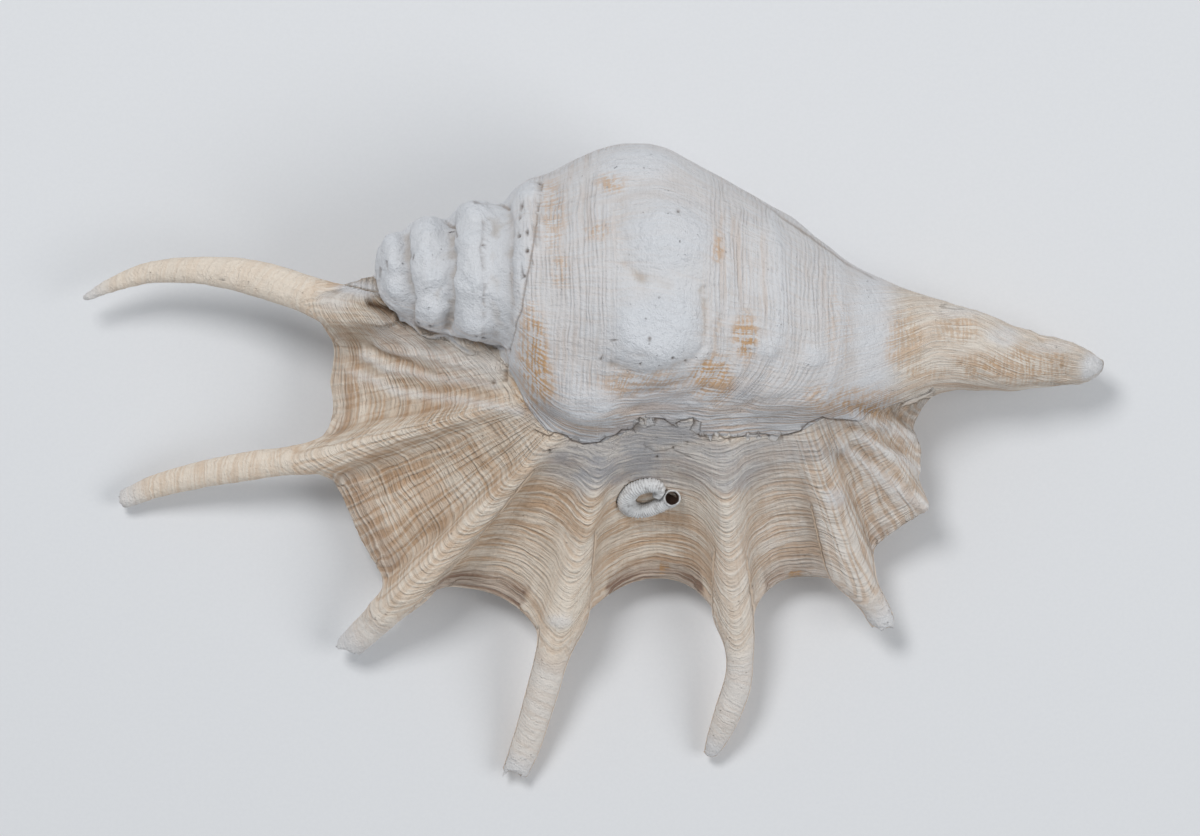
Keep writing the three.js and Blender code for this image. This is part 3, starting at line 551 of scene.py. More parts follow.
def shell_rings():
    """The closed skins that the shell is made of: the body, the lip, its foot, the shelf and the fingers."""
    spans = zip(BODY[:-1, 0], BODY[1:, 0])
    x = [np.linspace(a, b, math.ceil((b - a) / BODY_STEP), endpoint=False) for a, b in spans]
    x = np.concatenate(x + [BODY[-1:, 0]])
    body = body_points(x, BODY_ANGLES)
    body[..., 2] = np.maximum(body[..., 2], 0)
    chipped = ring_noise(np.radians(BODY_ANGLES), 2.4, 0, CHIP_SEED)
    body[..., 0] += np.minimum(0, chipped - 0.1) * CHIP_DEPTH * ease(141, 148, body[..., 0])
    lines = numbered_curve(LIP, 8)
    v = np.linspace(0, 1, 80)
    upper = lip_points(lines, v)
    thick = mix(LIP_THICK, EDGE_THICK, v) + np.maximum(0, lines[:, 6:]) * 2 * v
    lower = lip_points(lines, np.where(v == 1, 0.985, v))
    lower[..., 2] = upper[..., 2] - thick
    lip = np.concatenate([upper, lower[:, ::-1]], axis=1)
    fingers = [finger_rings(finger, FINGER_SEED + k) for k, finger in enumerate(FINGERS)]
    return [body, lip, foot_rings(), tube(SHELF, TUBE_SIDES, SHELF_FLATNESS), *fingers]


def hollow_rings():
    """The skins of the hollows cut from the shell: its mouth, the grooves beside it and the worm's seat."""
    t = np.linspace(0, 1, 49)
    x = mix(MOUTH_ENDS[0], MOUTH_ENDS[1], t)
    wide = (np.sin(np.pi * np.clip(t, 0.03, 0.97)) ** 0.5)[:, None]
    angle, low, high = numbered_curve(MOUTH, 6).T
    inner = body_points(x, angle, mix(mix(low, high, 0.75), low, wide), False)
    outer = body_points(x, angle, high[None], False)
    mouth = np.concatenate([inner, outer[:, ::-1]], axis=1)
    end = worm_rows(0.0)[-1, :3]
    over = [[*(end + WORM_FACING * k), radius] for k, radius in ((0.5, 2.6), (2.0, 2.7), (7.0, 3.0))]
    seat = worm_rows(0.12)
    return [mouth, *(tube(rows, TUBE_SIDES) for rows in (*GROOVES_BELOW, seat, over))]


def worm_rows(grown):
    """The worm tube's centre line and radius, thicker by grown."""
    x, y, radius = WORM.T
    return np.stack([x, y, WORM_AT[2] + (y - WORM_AT[1]) * WORM_SLOPE, radius + grown], axis=1)


def seen(points):
    """Where points lie in the view from above."""
    shown = VIEW_STEP * (1 - points[:, 2] / VIEW_HEIGHT)
    return np.stack([VIEW_CENTRE[0] + points[:, 0] / shown, VIEW_CENTRE[1] - points[:, 1] / shown], axis=1)


def away_from(places, line):
    """How far places are from a line through points."""
    line = np.asarray(line, float)
    nearest = np.full(len(places), np.inf)
    for a, b in zip(line[:-1], line[1:]):
        t = np.clip((places - a) @ (b - a) / ((b - a) @ (b - a)), 0, 1)
        nearest = np.minimum(nearest, np.linalg.norm(places - a - t[:, None] * (b - a), axis=1))
    return nearest


def mesh_arrays(mesh):
    """A mesh's points, normals and edges as arrays."""
    count = len(mesh.vertices)
    points, normals = np.empty(count * 3), np.empty(count * 3)
    edges = np.empty(len(mesh.edges) * 2, np.int64)
    mesh.vertices.foreach_get("co", points)
    mesh.vertices.foreach_get("normal", normals)
    mesh.edges.foreach_get("vertices", edges)
    return points.reshape(-1, 3), normals.reshape(-1, 3), edges.reshape(-1, 2)


def eased_over(values, edges, rounds):
    """Values at points, each evened with its neighbours over some rounds."""
    a, b = edges.T
    count = len(values)
    shares = np.maximum(np.bincount(edges.ravel(), minlength=count), 1)[:, None]
    for _ in range(rounds):
        sums = [np.bincount(a, v[b], count) + np.bincount(b, v[a], count) for v in values.T]
        values = np.stack(sums, 1) / shares
    return values


def refine_at_marks(obj):
    """Splits the faces of the upper side that lie at lines and pits, so that fine marks have an edge."""
    for k, widest in enumerate(SPLIT_LINES):
        points, normals, _ = mesh_arrays(obj.data)
        places = seen(points)
        close = np.zeros(len(points), bool)
        for half, _, _, _, strays, line in (*LINES, (0.6, 0, 0, 0, 0.4, FOOT[4:])):
            if half < widest:
                close |= away_from(places, line) < min(half, 2.4) * 1.4 + strays * 0.85 + 2.1 - 0.9 * k
        for px, py, radius, _ in PITS:
            close |= np.hypot(places[:, 0] - px, places[:, 1] - py) < radius * 1.4 + 2.0 - 0.8 * k
        close &= normals[:, 2] > 0.1
        made = bmesh.new()
        made.from_mesh(obj.data)
        chosen = [e for e in made.edges if close[e.verts[0].index] and close[e.verts[1].index]]
        bmesh.ops.subdivide_edges(made, edges=chosen, cuts=1)
        bmesh.ops.triangulate(made, faces=made.faces)
        made.to_mesh(obj.data)
        made.free()


def lip_place(points):
    """Where points lie on the lip: along it, out across it, beyond its edge, its rib and its height."""
    lines = numbered_curve(LIP, 12)
    v = np.linspace(0, 1, 49)
    grid = lip_points(lines, v)
    middle = mix(lines[:, 0:2], lines[:, 3:5], 0.62)
    along = np.concatenate([[0], np.cumsum(np.linalg.norm(np.diff(middle, axis=0), axis=1))])
    tree = kdtree.KDTree(grid.shape[0] * grid.shape[1])
    flat = grid[..., :2].reshape(-1, 2)
    for k, (x, y) in enumerate(flat.tolist()):
        tree.insert((x, y, 0), k)
    tree.balance()
    nearest = np.array([tree.find((x, y, 0))[1] for x, y in points[:, :2].tolist()])
    i, j = np.divmod(nearest, len(v))
    by_u, by_v = np.gradient(grid[..., :2], axis=0)[i, j], np.gradient(grid[..., :2], axis=1)[i, j]
    rest = points[:, :2] - flat[nearest]
    cross = by_u[:, 0] * by_v[:, 1] - by_u[:, 1] * by_v[:, 0]
    cross = np.where(np.abs(cross) < 1e-9, 1e-9, cross)
    du = np.clip((rest[:, 0] * by_v[:, 1] - rest[:, 1] * by_v[:, 0]) / cross, -1, 1)
    dv = np.clip((by_u[:, 0] * rest[:, 1] - by_u[:, 1] * rest[:, 0]) / cross, -1, 1)
    u = np.clip(i + du, 0, len(lines) - 1)
    share = np.clip((j + dv) / (len(v) - 1), 0, 1)
    at = curve(np.column_stack([lines, along]), u, np.arange(float(len(lines))))
    on_lip = np.stack([mix(at[:, 0], at[:, 3], share), mix(at[:, 1], at[:, 4], share)], axis=1)
    beyond = np.linalg.norm(points[:, :2] - on_lip, axis=1) * (share > 0.97)
    rib = np.maximum(at[:, 6], 0)
    raised = RIB_HEIGHT * rib * np.sin(np.minimum(1, share * 1.05) * np.pi / 2) ** 2
    height = mix(at[:, 5], at[:, 2], lip_fall(share)) + raised
    return at[:, 7], share, beyond, rib, height


def finger_lengths(line, rows):
    """Distances of rows along a finger from the lip's edge."""
    lengths = np.concatenate([[0], np.cumsum(np.linalg.norm(np.diff(rows[:, :3], axis=0), axis=1))])
    return lengths - np.linalg.norm(LIP[line, 3:5] - rows[0, :2])


def finger_place(points):
    """For points: distance to the nearest finger's middle, distance along it, round it, and its number."""
    best = np.full(len(points), np.inf)
    along, around, which = (np.zeros(len(points)) for _ in range(3))
    for number, (line, _, _, rows) in enumerate(FINGERS):
        rows = numbered_curve(rows, 8)
        lengths = finger_lengths(line, rows)
        for k in range(len(rows) - 1):
            a, b = rows[k, :3], rows[k + 1, :3]
            step = (b - a) / np.linalg.norm(b - a)
            low = -6.0 if k == 0 else 0.0
            t = np.clip((points - a) @ step, low, np.linalg.norm(b - a))
            off = points - a - t[:, None] * step
            away = np.linalg.norm(off, axis=1) / rows[k, 3]
            closer = away < best
            side = np.cross(step, (0, 0, 1))
            angle = np.arctan2(off @ side, off[:, 2])
            best = np.where(closer, away, best)
            along = np.where(closer, lengths[k] + t, along)
            around = np.where(closer, angle * rows[k, 3], around)
            which = np.where(closer, number, which)
    return best, along, around, which


def body_place(points):
    """Where points lie on the body: the angle round its axis, their reach, and the surface's reach there."""
    x, y, z = points.T
    y0, z0, far, near, top, bottom = body_frame(np.clip(x, BODY[0, 0], BODY[-1, 0]))
    c = (y - y0) / np.where(y > y0, far, near)
    s = (z - z0) / np.where(z > z0, top, bottom)
    angle = np.degrees(np.arctan2(s, c)) % 360
    lift = knob_lift(x, angle)
    surface = np.hypot(np.cos(np.radians(angle)) * (np.where(y > y0, far, near) + lift),
                       np.sin(np.radians(angle)) * (np.where(z > z0, top, bottom) + lift))
    return angle, np.hypot(y - y0, z - z0), surface


def lining(x, level, angle, inside, whorl, finger):
    """How far points belong to the smooth lining: the mouth, its two sides and the lip's underside."""
    within = inside * (whorl > 0.5) * ease(-0.3, 0.3, 0.2 - level)
    under = (1 - whorl) * ease(0.0, 0.4, -level) * (1 - finger)
    beside = ease(158, 166, angle) * ease(256, 248, angle) * ease(-44, -34, x) * ease(98, 94, x)
    beside *= np.where(angle > 175, level < 0.3, level < 0)
    return np.clip(np.maximum(within, np.maximum(under, beside)), 0, 1)


def tones(what, x, view):
    """How strongly cords and growth lines stand out, and how tan and how cream the shell is."""
    whorl, finger, along, share = (what[name] for name in ("whorl", "finger", "along", "share"))
    canal = ease(880, 915, view)
    low_side = ease(124, 146, what["angle"]) * (what["angle"] < 230)
    ribbed = what["rib"] * ease(0.3, 0.8, share)
    right = ease(150, 225, along)
    worn = what["number"] >= 2  # fingers that are whiter than the first two

    body_cords = np.interp(view, *BODY_CORDS) * (1 - 0.75 * low_side) * 0.7
    lip_cords = np.interp(along, *LIP_CORDS) * ease(0.02, 0.2, share) * (1 - 0.85 * finger)
    body_lines = np.maximum(np.maximum(0.2, low_side), 0.65 * ease(875, 905, view)) * (x > -26)
    lip_lines = (1 - 0.5 * finger) * (1 - 0.45 * ribbed)
    body_tan = 0.6 * low_side + 0.14 * (x > -26) + 0.24 * canal
    lip_tan = (0.25 + 0.75 * ease(0.0, 0.45, share)) * (1 - 0.4 * np.minimum(lip_cords, 1))
    lip_tan *= mix(0.95, 0.62, right) * (1 - finger * np.where(worn, 0.4, 0.0))
    lip_tan *= 1 - np.where(along < 24, 0.8, 0.55) * ribbed
    lip_cream = (1 - np.where(worn, 0.3, 0.0) * finger) * mix(1, 0.6, right)
    return dict(corded=mix(lip_cords, body_cords, whorl), lined=mix(lip_lines, body_lines, whorl),
                tanned=mix(lip_tan, body_tan, whorl), creamy=mix(lip_cream, canal, whorl))


def shell_surface(points, normals):
    """What each point of the shell is: its place in the growth, its layer, and its tones, by name."""
    x, level = points[:, 0], normals[:, 2]
    view, down = seen(points).T
    angle, reach, surface = body_place(points)
    along, share, beyond, rib, height = lip_place(points)
    off_body = np.abs(reach - surface) + np.maximum(0, BODY[0, 0] - x)
    off_lip = np.abs(points[:, 2] - height) + beyond + 4 * (share < 0.004)

    up = ease(0.12, 0.4, level)
    below_foot = down - np.interp(view, FOOT[:, 0], FOOT[:, 1]) + 0.5 * rough(points, 2.0, FOOT_SEED)
    by_view = up * (x > FOOT_SPAN[0]) * (x < FOOT_SPAN[1])
    whorl = mix(ease(-0.7, 0.7, off_lip - off_body), ease(0.15, -0.15, below_foot), by_view)
    away, length, around, number = finger_place(points)
    finger = ease(-2.0, 6.0, beyond) * ease(0.93, 1.0, share) * (away < 2.2) * (1 - whorl)

    # distances across the growth lines and across the cords, each with its own run on body, lip and finger
    turn = np.where(angle > 230, angle - 360, angle)
    twist = 0.55 * np.maximum(0, x - 96) - 0.25 * np.maximum(0, x - 125)
    on_body = np.radians(180 - turn) * np.interp(x, [60, 110], [36, 18]) + twist
    on_finger = 58 + length + 0.25 * around * ease(0, 12, length)
    growth = mix(mix(58 * share, on_finger, finger), on_body, whorl)
    drop = np.maximum(0, down - 345) * 0.29
    swept = 0.035 * drop**2 * ease(-2, 12, x) * ease(75, 50, x)
    cord = mix(mix(along, along + around, finger), x + 300 + swept, whorl)

    glaze = lining(x, level, angle, ease(0.6, 2.5, surface - reach), whorl, finger)
    what = dict(along=along, share=share, rib=rib, angle=angle, length=length, number=number, up=up,
                off_lip=off_lip, off_body=off_body, finger=finger,
                growth=growth, cord=cord, whorl=whorl, glaze=glaze)
    return {**what, **tones(what, x, view)}


def marks(points, up):
    """Depth, stain, white, dark and grey of the marks on the upper side."""
    places = seen(points)
    wander = np.stack([rough(points, 6.0, WANDER_SEED + k) for k in (0, 1)], axis=1)
    depth, stain, white, dark, grey = (np.zeros(len(points)) for _ in range(5))
    for half, deep, brown, dim, strays, line in LINES:
        away = away_from(places + wander * strays, line) / half
        depth += deep * bell(away)
        stain += brown * bell(away * 0.8)
        dark = np.maximum(dark, dim * bell(away))
        white = np.maximum(white, 0.5 * (deep < 0) * bell(away))
    for px, py, wide, tall, deep, brown, pale, dust_and_shade_amount in BLOTS:
        stray = places + wander * min(wide, tall) * 0.3
        away = np.hypot((stray[:, 0] - px) / wide, (stray[:, 1] - py) / tall)
        spot = 1 - ease(0.5, 1.25, away)
        depth += deep * spot
        stain += brown * spot
        white = np.maximum(white, pale * spot)
        # grey: partly the shell's own grey, partly painted shade under the body
        grey = np.maximum(grey, dust_and_shade_amount * spot)
        if deep > 1:
            dark = np.maximum(dark, spot)
    for px, py, radius, deep in PITS:
        hole = bell(np.hypot(places[:, 0] - px, places[:, 1] - py + 0.4 * wander[:, 0]) / radius * 2)
        depth += deep * hole
        dark = np.maximum(dark, 0.8 * hole)
    return depth * up, stain * up, white * up, dark * up, grey * up


def set_values(mesh, name, values):
    layer = mesh.attributes.new(name, "FLOAT", "POINT")
    layer.data.foreach_set("value", np.ascontiguousarray(values, np.float32))


def soften_joins(points, normals, edges):
    """Evens the shell where the lip leaves the body and where each finger leaves the lip."""
    what = shell_surface(points, normals)
    near = ease(8.0, 2.0, np.maximum(what["off_lip"], what["off_body"])) * what["up"]
    near *= ease(-20, -10, points[:, 0]) * ease(92, 80, points[:, 0])
    for line, _, _, rows in FINGERS:
        root = np.append(LIP[line, 3:5], rows[1][2])
        near = np.maximum(near, 0.8 * bell(np.linalg.norm(points - root, axis=1) / 5.5))
    for _ in range(40):
        points = mix(points, eased_over(points, edges, 1), near[:, None])
    return points


def relief(points, what, spire, settings):
    """How far growth ridges, cords, lumps and crust lift the shell, in millimetres."""
    whorl, finger = what["whorl"], what["finger"]
    grown = np.stack([what["growth"], what["cord"], whorl * 40], axis=1)
    ripple = rough(grown * (1 / 2.8, 1 / 30, 1), 1.0, RIPPLE_SEED) * settings.growth_height * 1000
    cords = rough(grown * (1 / 30, 1 / 2.8, 1), 1.0, CORD_SEED) * settings.cord_height * 1000 * what["corded"]
    lumps = rough(points, 11.0, LUMP_SEED) * 0.5
    canal = ease(96, 108, points[:, 0]) * whorl
    crust = rough(points, 3.6, CRUST_SEED) * (0.7 * spire + 0.12 + 0.5 * canal)
    lip = (1 - whorl) * (1 - what["glaze"])
    lift = lip * (ripple * (0.35 + 0.65 * what["share"]) * (1 - 0.5 * finger) + cords * 1.6)
    lift = lift + whorl * (cords * 0.6 + 0.4 * ripple * what["lined"])
    return (lift + lumps * (1 - 0.7 * finger) + crust) * (1 - 0.75 * what["glaze"])


def tips_of_fingers(what):
    """How near points are to the tip of their finger."""
    tip = np.zeros(len(what["length"]))
    for number, (line, _, _, rows) in enumerate(FINGERS):
        total = finger_lengths(line, np.array(rows))[-1]
        near = ease(total - 13, total - 1, what["length"]) * what["finger"]
        tip = np.where(what["number"] == number, near, tip)
    return tip


def edge_brown_and_shade(what):
    """Where the lip darkens just inside its thin edge between the fingers: partly the lip's brown, partly
    painted shade where the edge curls down.
    """
    edge = (1 - what["whorl"]) * (1 - what["finger"]) * (what["rib"] < 0.3)
    edge *= np.interp(what["along"], (6, 18, 90, 100, 190, 215), (0, 0.3, 0.45, 1, 1, 0.35))
    return ease(0.84, 0.93, what["share"]) * ease(0.996, 0.98, what["share"]) * edge


def sculpt(obj, settings):
    """Moves the shell's points into lumps, lines and marks, and keeps what each point is for the material."""
    points, normals, edges = mesh_arrays(obj.data)
    what = shell_surface(points, normals)
    depth, stain, white, dark, grey = marks(points, what["up"])
    spire = ease(-16, -30, points[:, 0]) * what["whorl"]
    move = relief(points, what, spire, settings) - depth
    resting = ease(0.6, 2.0, points[:, 2])
    points = points + normals * (move * resting)[:, None]
    # how hollow each point lies; the material darkens hollows with it as painted shade
    even = eased_over(points, edges, 14)
    cavity = np.einsum("ij,ij->i", even - points, normals)
    low, high = (np.array(corner) * 1000 - PLAN_TO_FRAME for corner in CAD_BOX)
    points = np.clip(points, low + (0.05, 0.05, 0), high - 0.05)
    obj.data.vertices.foreach_set("co", ((points + PLAN_TO_FRAME) / 1000).ravel())
    worn = np.where(what["number"] < 2, 0.0, 0.2) * what["finger"]
    canal = 0.2 * what["whorl"] * ease(75, 100, points[:, 0])
    pale = np.maximum.reduce([white, 0.7 * spire, 0.8 * tips_of_fingers(what), worn, canal])
    names = ("growth", "cord", "whorl", "glaze", "corded", "lined", "tanned", "creamy")
    grown = {name: what[name] for name in names}
    marked = dict(stain=np.clip(stain, -1, 2), white=np.clip(pale, 0, 1), dark=np.clip(dark, 0, 1),
                  grey=np.clip(grey, 0, 1), cavity=np.clip(cavity / 0.9, -1, 1), edge_brown_and_shade=edge_brown_and_shade(what))
    for name, values in {**grown, **marked}.items():
        set_values(obj.data, name, values)
    obj.data.update()
    obj.data.polygons.foreach_set("use_smooth", [True] * len(obj.data.polygons))


def node(tree, kind, inputs=(), **settings):
    """A new node with its settings, its inputs set or linked by name or number."""
    made = tree.nodes.new(kind)
    for key, value in settings.items():
        setattr(made, key, value)
    for key, value in dict(inputs).items():
        if isinstance(value, bpy.types.NodeSocket):
            tree.links.new(value, made.inputs[key])
        else:
            made.inputs[key].default_value = value
    return made


def maths(tree, operation, a, b=0.0, clamp=False):
    return node(tree, "ShaderNodeMath", {0: a, 1: b}, operation=operation, use_clamp=clamp).outputs[0]


def plus(tree, a, b, clamp=False):
    return maths(tree, "ADD", a, b, clamp)


def less(tree, a, b, clamp=False):
    return maths(tree, "SUBTRACT", a, b, clamp)


def times(tree, a, b, clamp=False):
    return maths(tree, "MULTIPLY", a, b, clamp)


def colours(tree, share, a, b, blend="MIX"):
    return node(tree, "ShaderNodeMix", {0: share, 6: a, 7: b}, data_type="RGBA", blend_type=blend).outputs[2]


def span(tree, value, low, high, to_low=0.0, to_high=1.0):
    """A value eased from one span to another."""
    inputs = {"Value": value, "From Min": low, "From Max": high, "To Min": to_low, "To Max": to_high}
    return node(tree, "ShaderNodeMapRange", inputs, interpolation_type="SMOOTHSTEP").outputs[0]


def kept(tree, name):
    """A value kept on the mesh."""
    return node(tree, "ShaderNodeAttribute", attribute_name=name).outputs["Fac"]


def stretched(tree, vector, by):
    return node(tree, "ShaderNodeVectorMath", {0: vector, 1: by}, operation="MULTIPLY").outputs[0]


def clouds(tree, vector, scale, detail=3.0, roughness=0.55):
    inputs = {"Vector": vector, "Scale": scale, "Detail": detail, "Roughness": roughness}
    return node(tree, "ShaderNodeTexNoise", inputs).outputs[0]


def new_group(name, inputs, outputs):
    """A node group with number, vector and colour sockets, and its two end nodes."""
    tree = bpy.data.node_groups.new(name, "ShaderNodeTree")
    for label, kind, default in inputs:
        socket = tree.interface.new_socket(name=label, in_out="INPUT", socket_type=kind)
        if default is not None:
            socket.default_value = default
    for label, kind in outputs:
        tree.interface.new_socket(name=label, in_out="OUTPUT", socket_type=kind)
    return tree, node(tree, "NodeGroupInput"), node(tree, "NodeGroupOutput")


def chalk_grain():
    """Worn lime: a fine grain with open pores and powdery patches, in the object's own metres."""
    made, start, end = new_group(
        "Chalk Grain",
        [("Grain Size", "NodeSocketFloat", 0.0006), ("Pores", "NodeSocketFloat", 0.4)],
        [("Height", "NodeSocketFloat"), ("Pore", "NodeSocketFloat"), ("Patch", "NodeSocketFloat")],
    )
    place = node(made, "ShaderNodeTexCoord").outputs["Object"]
    fine = clouds(made, place, maths(made, "DIVIDE", 1.0, start.outputs["Grain Size"]), 3.0, 0.65)
    coarse = clouds(made, place, maths(made, "DIVIDE", 0.22, start.outputs["Grain Size"]), 2.0)
    cells = node(made, "ShaderNodeTexVoronoi", {"Vector": place, "Scale": 620.0}).outputs["Distance"]
    hole = times(made, span(made, cells, 0.24, 0.08), span(made, coarse, 0.56, 0.72))
    hole = times(made, hole, start.outputs["Pores"])
    height = plus(made, times(made, fine, 0.42), times(made, coarse, 0.85))
    made.links.new(less(made, height, hole), end.inputs["Height"])
    made.links.new(hole, end.inputs["Pore"])
    made.links.new(span(made, clouds(made, place, 45.0, 4.0, 0.6), 0.42, 0.62), end.inputs["Patch"])
    return made


def grown_lines():
    """Lines of a shell's growth, in its own millimetres: fine ones, wide ones, cords and strands."""
    made, start, end = new_group(
        "Grown Lines",
        [(name, "NodeSocketFloat", 2.0 if name == "Cord Spacing" else 0.0)
         for name in ("Growth", "Cord", "Layer", "Cord Spacing")],
        [(name, "NodeSocketFloat") for name in ("Fine", "Bands", "Cords", "Strands")],
    )
    place = node(made, "ShaderNodeTexCoord").outputs["Object"]
    stray = times(made, less(made, clouds(made, place, 60.0, 3.0, 0.5), 0.5), 4.0)
    growth = plus(made, start.outputs["Growth"], stray)
    cord = plus(made, start.outputs["Cord"], times(made, stray, 0.5))
    layer = times(made, start.outputs["Layer"], 37.0)
    where = node(made, "ShaderNodeCombineXYZ", {0: growth, 1: cord, 2: layer}).outputs[0]
    fine = clouds(made, stretched(made, where, (1.05, 0.06, 1.0)), 1.0, 3.0, 0.62)
    spread = clouds(made, stretched(made, where, (0.16, 0.03, 1.0)), 1.0, 2.0, 0.5)
    rings = plus(made, times(made, growth, 0.78), times(made, spread, 3.0))
    rings = maths(made, "SINE", times(made, rings, 2 * math.pi))
    fine = plus(made, span(made, fine, 0.36, 0.64), times(made, rings, 0.24))
    made.links.new(fine, end.inputs["Fine"])
    bands = clouds(made, stretched(made, where, (0.24, 0.02, 1.0)), 1.0, 3.0, 0.5)
    made.links.new(bands, end.inputs["Bands"])
    uneven = clouds(made, stretched(made, where, (0.05, 0.33, 1.0)), 1.0, 2.0, 0.5)
    turns = maths(made, "DIVIDE", cord, start.outputs["Cord Spacing"])
    turns = plus(made, turns, times(made, uneven, 2.4))
    wave = maths(made, "SINE", times(made, turns, 2 * math.pi))
    strength = clouds(made, stretched(made, where, (0.09, 0.12, 1.0)), 1.0, 2.0)
    strength = span(made, strength, 0.32, 0.62, 0.3, 1.0)
    wave = times(made, wave, times(made, strength, 0.5))
    made.links.new(plus(made, wave, 0.5), end.inputs["Cords"])
    strands = clouds(made, stretched(made, where, (0.03, 0.42, 1.0)), 1.0, 4.0, 0.7)
    made.links.new(span(made, strands, 0.44, 0.64), end.inputs["Strands"])
    return made


def grouped(tree, group, inputs=()):
    """A node group placed in a material, as its outputs."""
    return node(tree, "ShaderNodeGroup", inputs, node_tree=group).outputs


def new_material(name):
    material = bpy.data.materials.new(name)
    material.use_nodes = True
    tree = material.node_tree
    tree.nodes.clear()
    shader = node(tree, "ShaderNodeBsdfPrincipled")
    output = node(tree, "ShaderNodeOutputMaterial", {"Surface": shader.outputs[0]})
    output.location = (300, 0)
    return material, tree, shader


def shell_material(settings, grain_group, lines_group):
    """Worn shell: grey-white body with cords, cream lip with tan bands, stains, and a smooth lining."""
    material, tree, shader = new_material("Worn Shell")
    growth, cord, whorl, glaze, stain, white, dark, grey = (
        kept(tree, name) for name in ("growth", "cord", "whorl", "glaze", "stain", "white", "dark", "grey"))
    cavity, edge_brown_and_shade, corded, lined, tanned, creamy = (
        kept(tree, name) for name in ("cavity", "edge_brown_and_shade", "corded", "lined", "tanned", "creamy"))
    within = maths(tree, "POWER", maths(tree, "ABSOLUTE", span(tree, whorl, 0.0, 1.0, -1.0, 1.0)), 6.0)
    grain = grouped(tree, grain_group, {"Grain Size": 0.0005, "Pores": 0.5})
    spacing = span(tree, whorl, 0.0, 1.0, 2.5, 1.35)
    lines = grouped(tree, lines_group, {"Growth": growth, "Cord": cord, "Layer": maths(tree, "ROUND", whorl),
                                        "Cord Spacing": spacing})
    patch = grain["Patch"]
    bare = less(tree, 1.0, times(tree, white, 0.8), True)

    hollows = less(tree, 1.0, lines["Fine"])
    bands = times(tree, span(tree, lines["Bands"], 0.36, 0.64), 0.5)
    bands = plus(tree, bands, times(tree, hollows, 0.5))
    tan = times(tree, span(tree, bands, 0.25, 0.85), tanned)
    crossing = times(tree, span(tree, lines["Cords"], 0.7, 0.2), times(tree, corded, 0.42))
    crossing = times(tree, crossing, less(tree, 1.0, whorl))
    tan = plus(tree, tan, crossing, True)
    plain = colours(tree, creamy, settings.body_colour, settings.lip_colour)
    tan = times(tree, tan, within)
    streaks = times(tree, lines["Strands"], span(tree, patch, 0.0, 1.0, 0.15, 0.5))
    streaks = times(tree, times(tree, streaks, bare), corded)
    tan = maths(tree, "MAXIMUM", tan, times(tree, streaks, whorl))
    base = colours(tree, times(tree, tan, 0.82), plain, settings.band_colour)
    # brown band inside the thin edge: partly the lip's brown, partly painted shade where the edge curls down
    rim = times(tree, edge_brown_and_shade, span(tree, bands, 0.2, 0.8, 0.45, 0.9))
    base = colours(tree, rim, base, settings.rim_brown_and_shade_colour)

    flecks = plus(tree, times(tree, lines["Cords"], 0.22), times(tree, hollows, 0.2))
    flecks = plus(tree, flecks, times(tree, grain["Height"], 0.9))
    flecks = span(tree, flecks, 0.66, 0.9, 0.08, 1.0)
    stained = times(tree, times(tree, maths(tree, "MAXIMUM", stain, 0.0), flecks), bare, True)
    base = colours(tree, times(tree, stained, 0.85), base, settings.stain_colour)
    base = colours(tree, times(tree, white, 0.75), base, settings.chalk_colour)
    # grey tone under the body: partly the shell's own grey, partly painted shade
    dust_and_shade = times(tree, grey, span(tree, plus(tree, hollows, patch), 0.2, 1.6, 0.35, 0.85))
    base = colours(tree, dust_and_shade, base, settings.dust_and_shade_colour)
    # hollows darkened by their depth: painted shade
    hollow = times(tree, span(tree, cavity, 0.1, 0.9), 0.45)
    base = colours(tree, hollow, base, settings.hollow_shade_colour, "MULTIPLY")
    # darker between the cords: painted shadow of the cords
    between = times(tree, span(tree, lines["Cords"], 0.45, 0.05), times(tree, corded, 0.22))
    base = colours(tree, times(tree, between, bare), base, settings.hollow_shade_colour, "MULTIPLY")
    # dark: cracks and pits, and painted shade in the gap behind the spire's tip and along the flange's seam
    base = colours(tree, times(tree, dark, 0.9), base, settings.crack_and_shade_colour)
    base = colours(tree, times(tree, grain["Pore"], 0.5), base, settings.crack_and_shade_colour)
    base = colours(tree, glaze, base, settings.lining_colour)
    tree.links.new(base, shader.inputs["Base Color"])
    tree.links.new(plus(tree, 0.8, times(tree, glaze, -0.48)), shader.inputs["Roughness"])

    ridges = plus(tree, times(tree, lines["Fine"], 0.5), times(tree, lines["Bands"], 0.9))
    ridges = plus(tree, times(tree, ridges, lined), times(tree, lines["Cords"], times(tree, corded, 0.5)))
    ridges = times(tree, ridges, times(tree, bare, less(tree, 1.0, glaze)))
    ridges = times(tree, ridges, within)
    chalky = times(tree, grain["Height"], span(tree, white, 0.0, 1.0, 0.8, 1.35))
    chalky = times(tree, chalky, span(tree, glaze, 0.0, 1.0, 1.0, 0.1))
    height = plus(tree, ridges, chalky)
    bump = node(tree, "ShaderNodeBump", {"Strength": 1.0, "Distance": 0.0009, "Height": height})
    tree.links.new(bump.outputs[0], shader.inputs["Normal"])
    return material


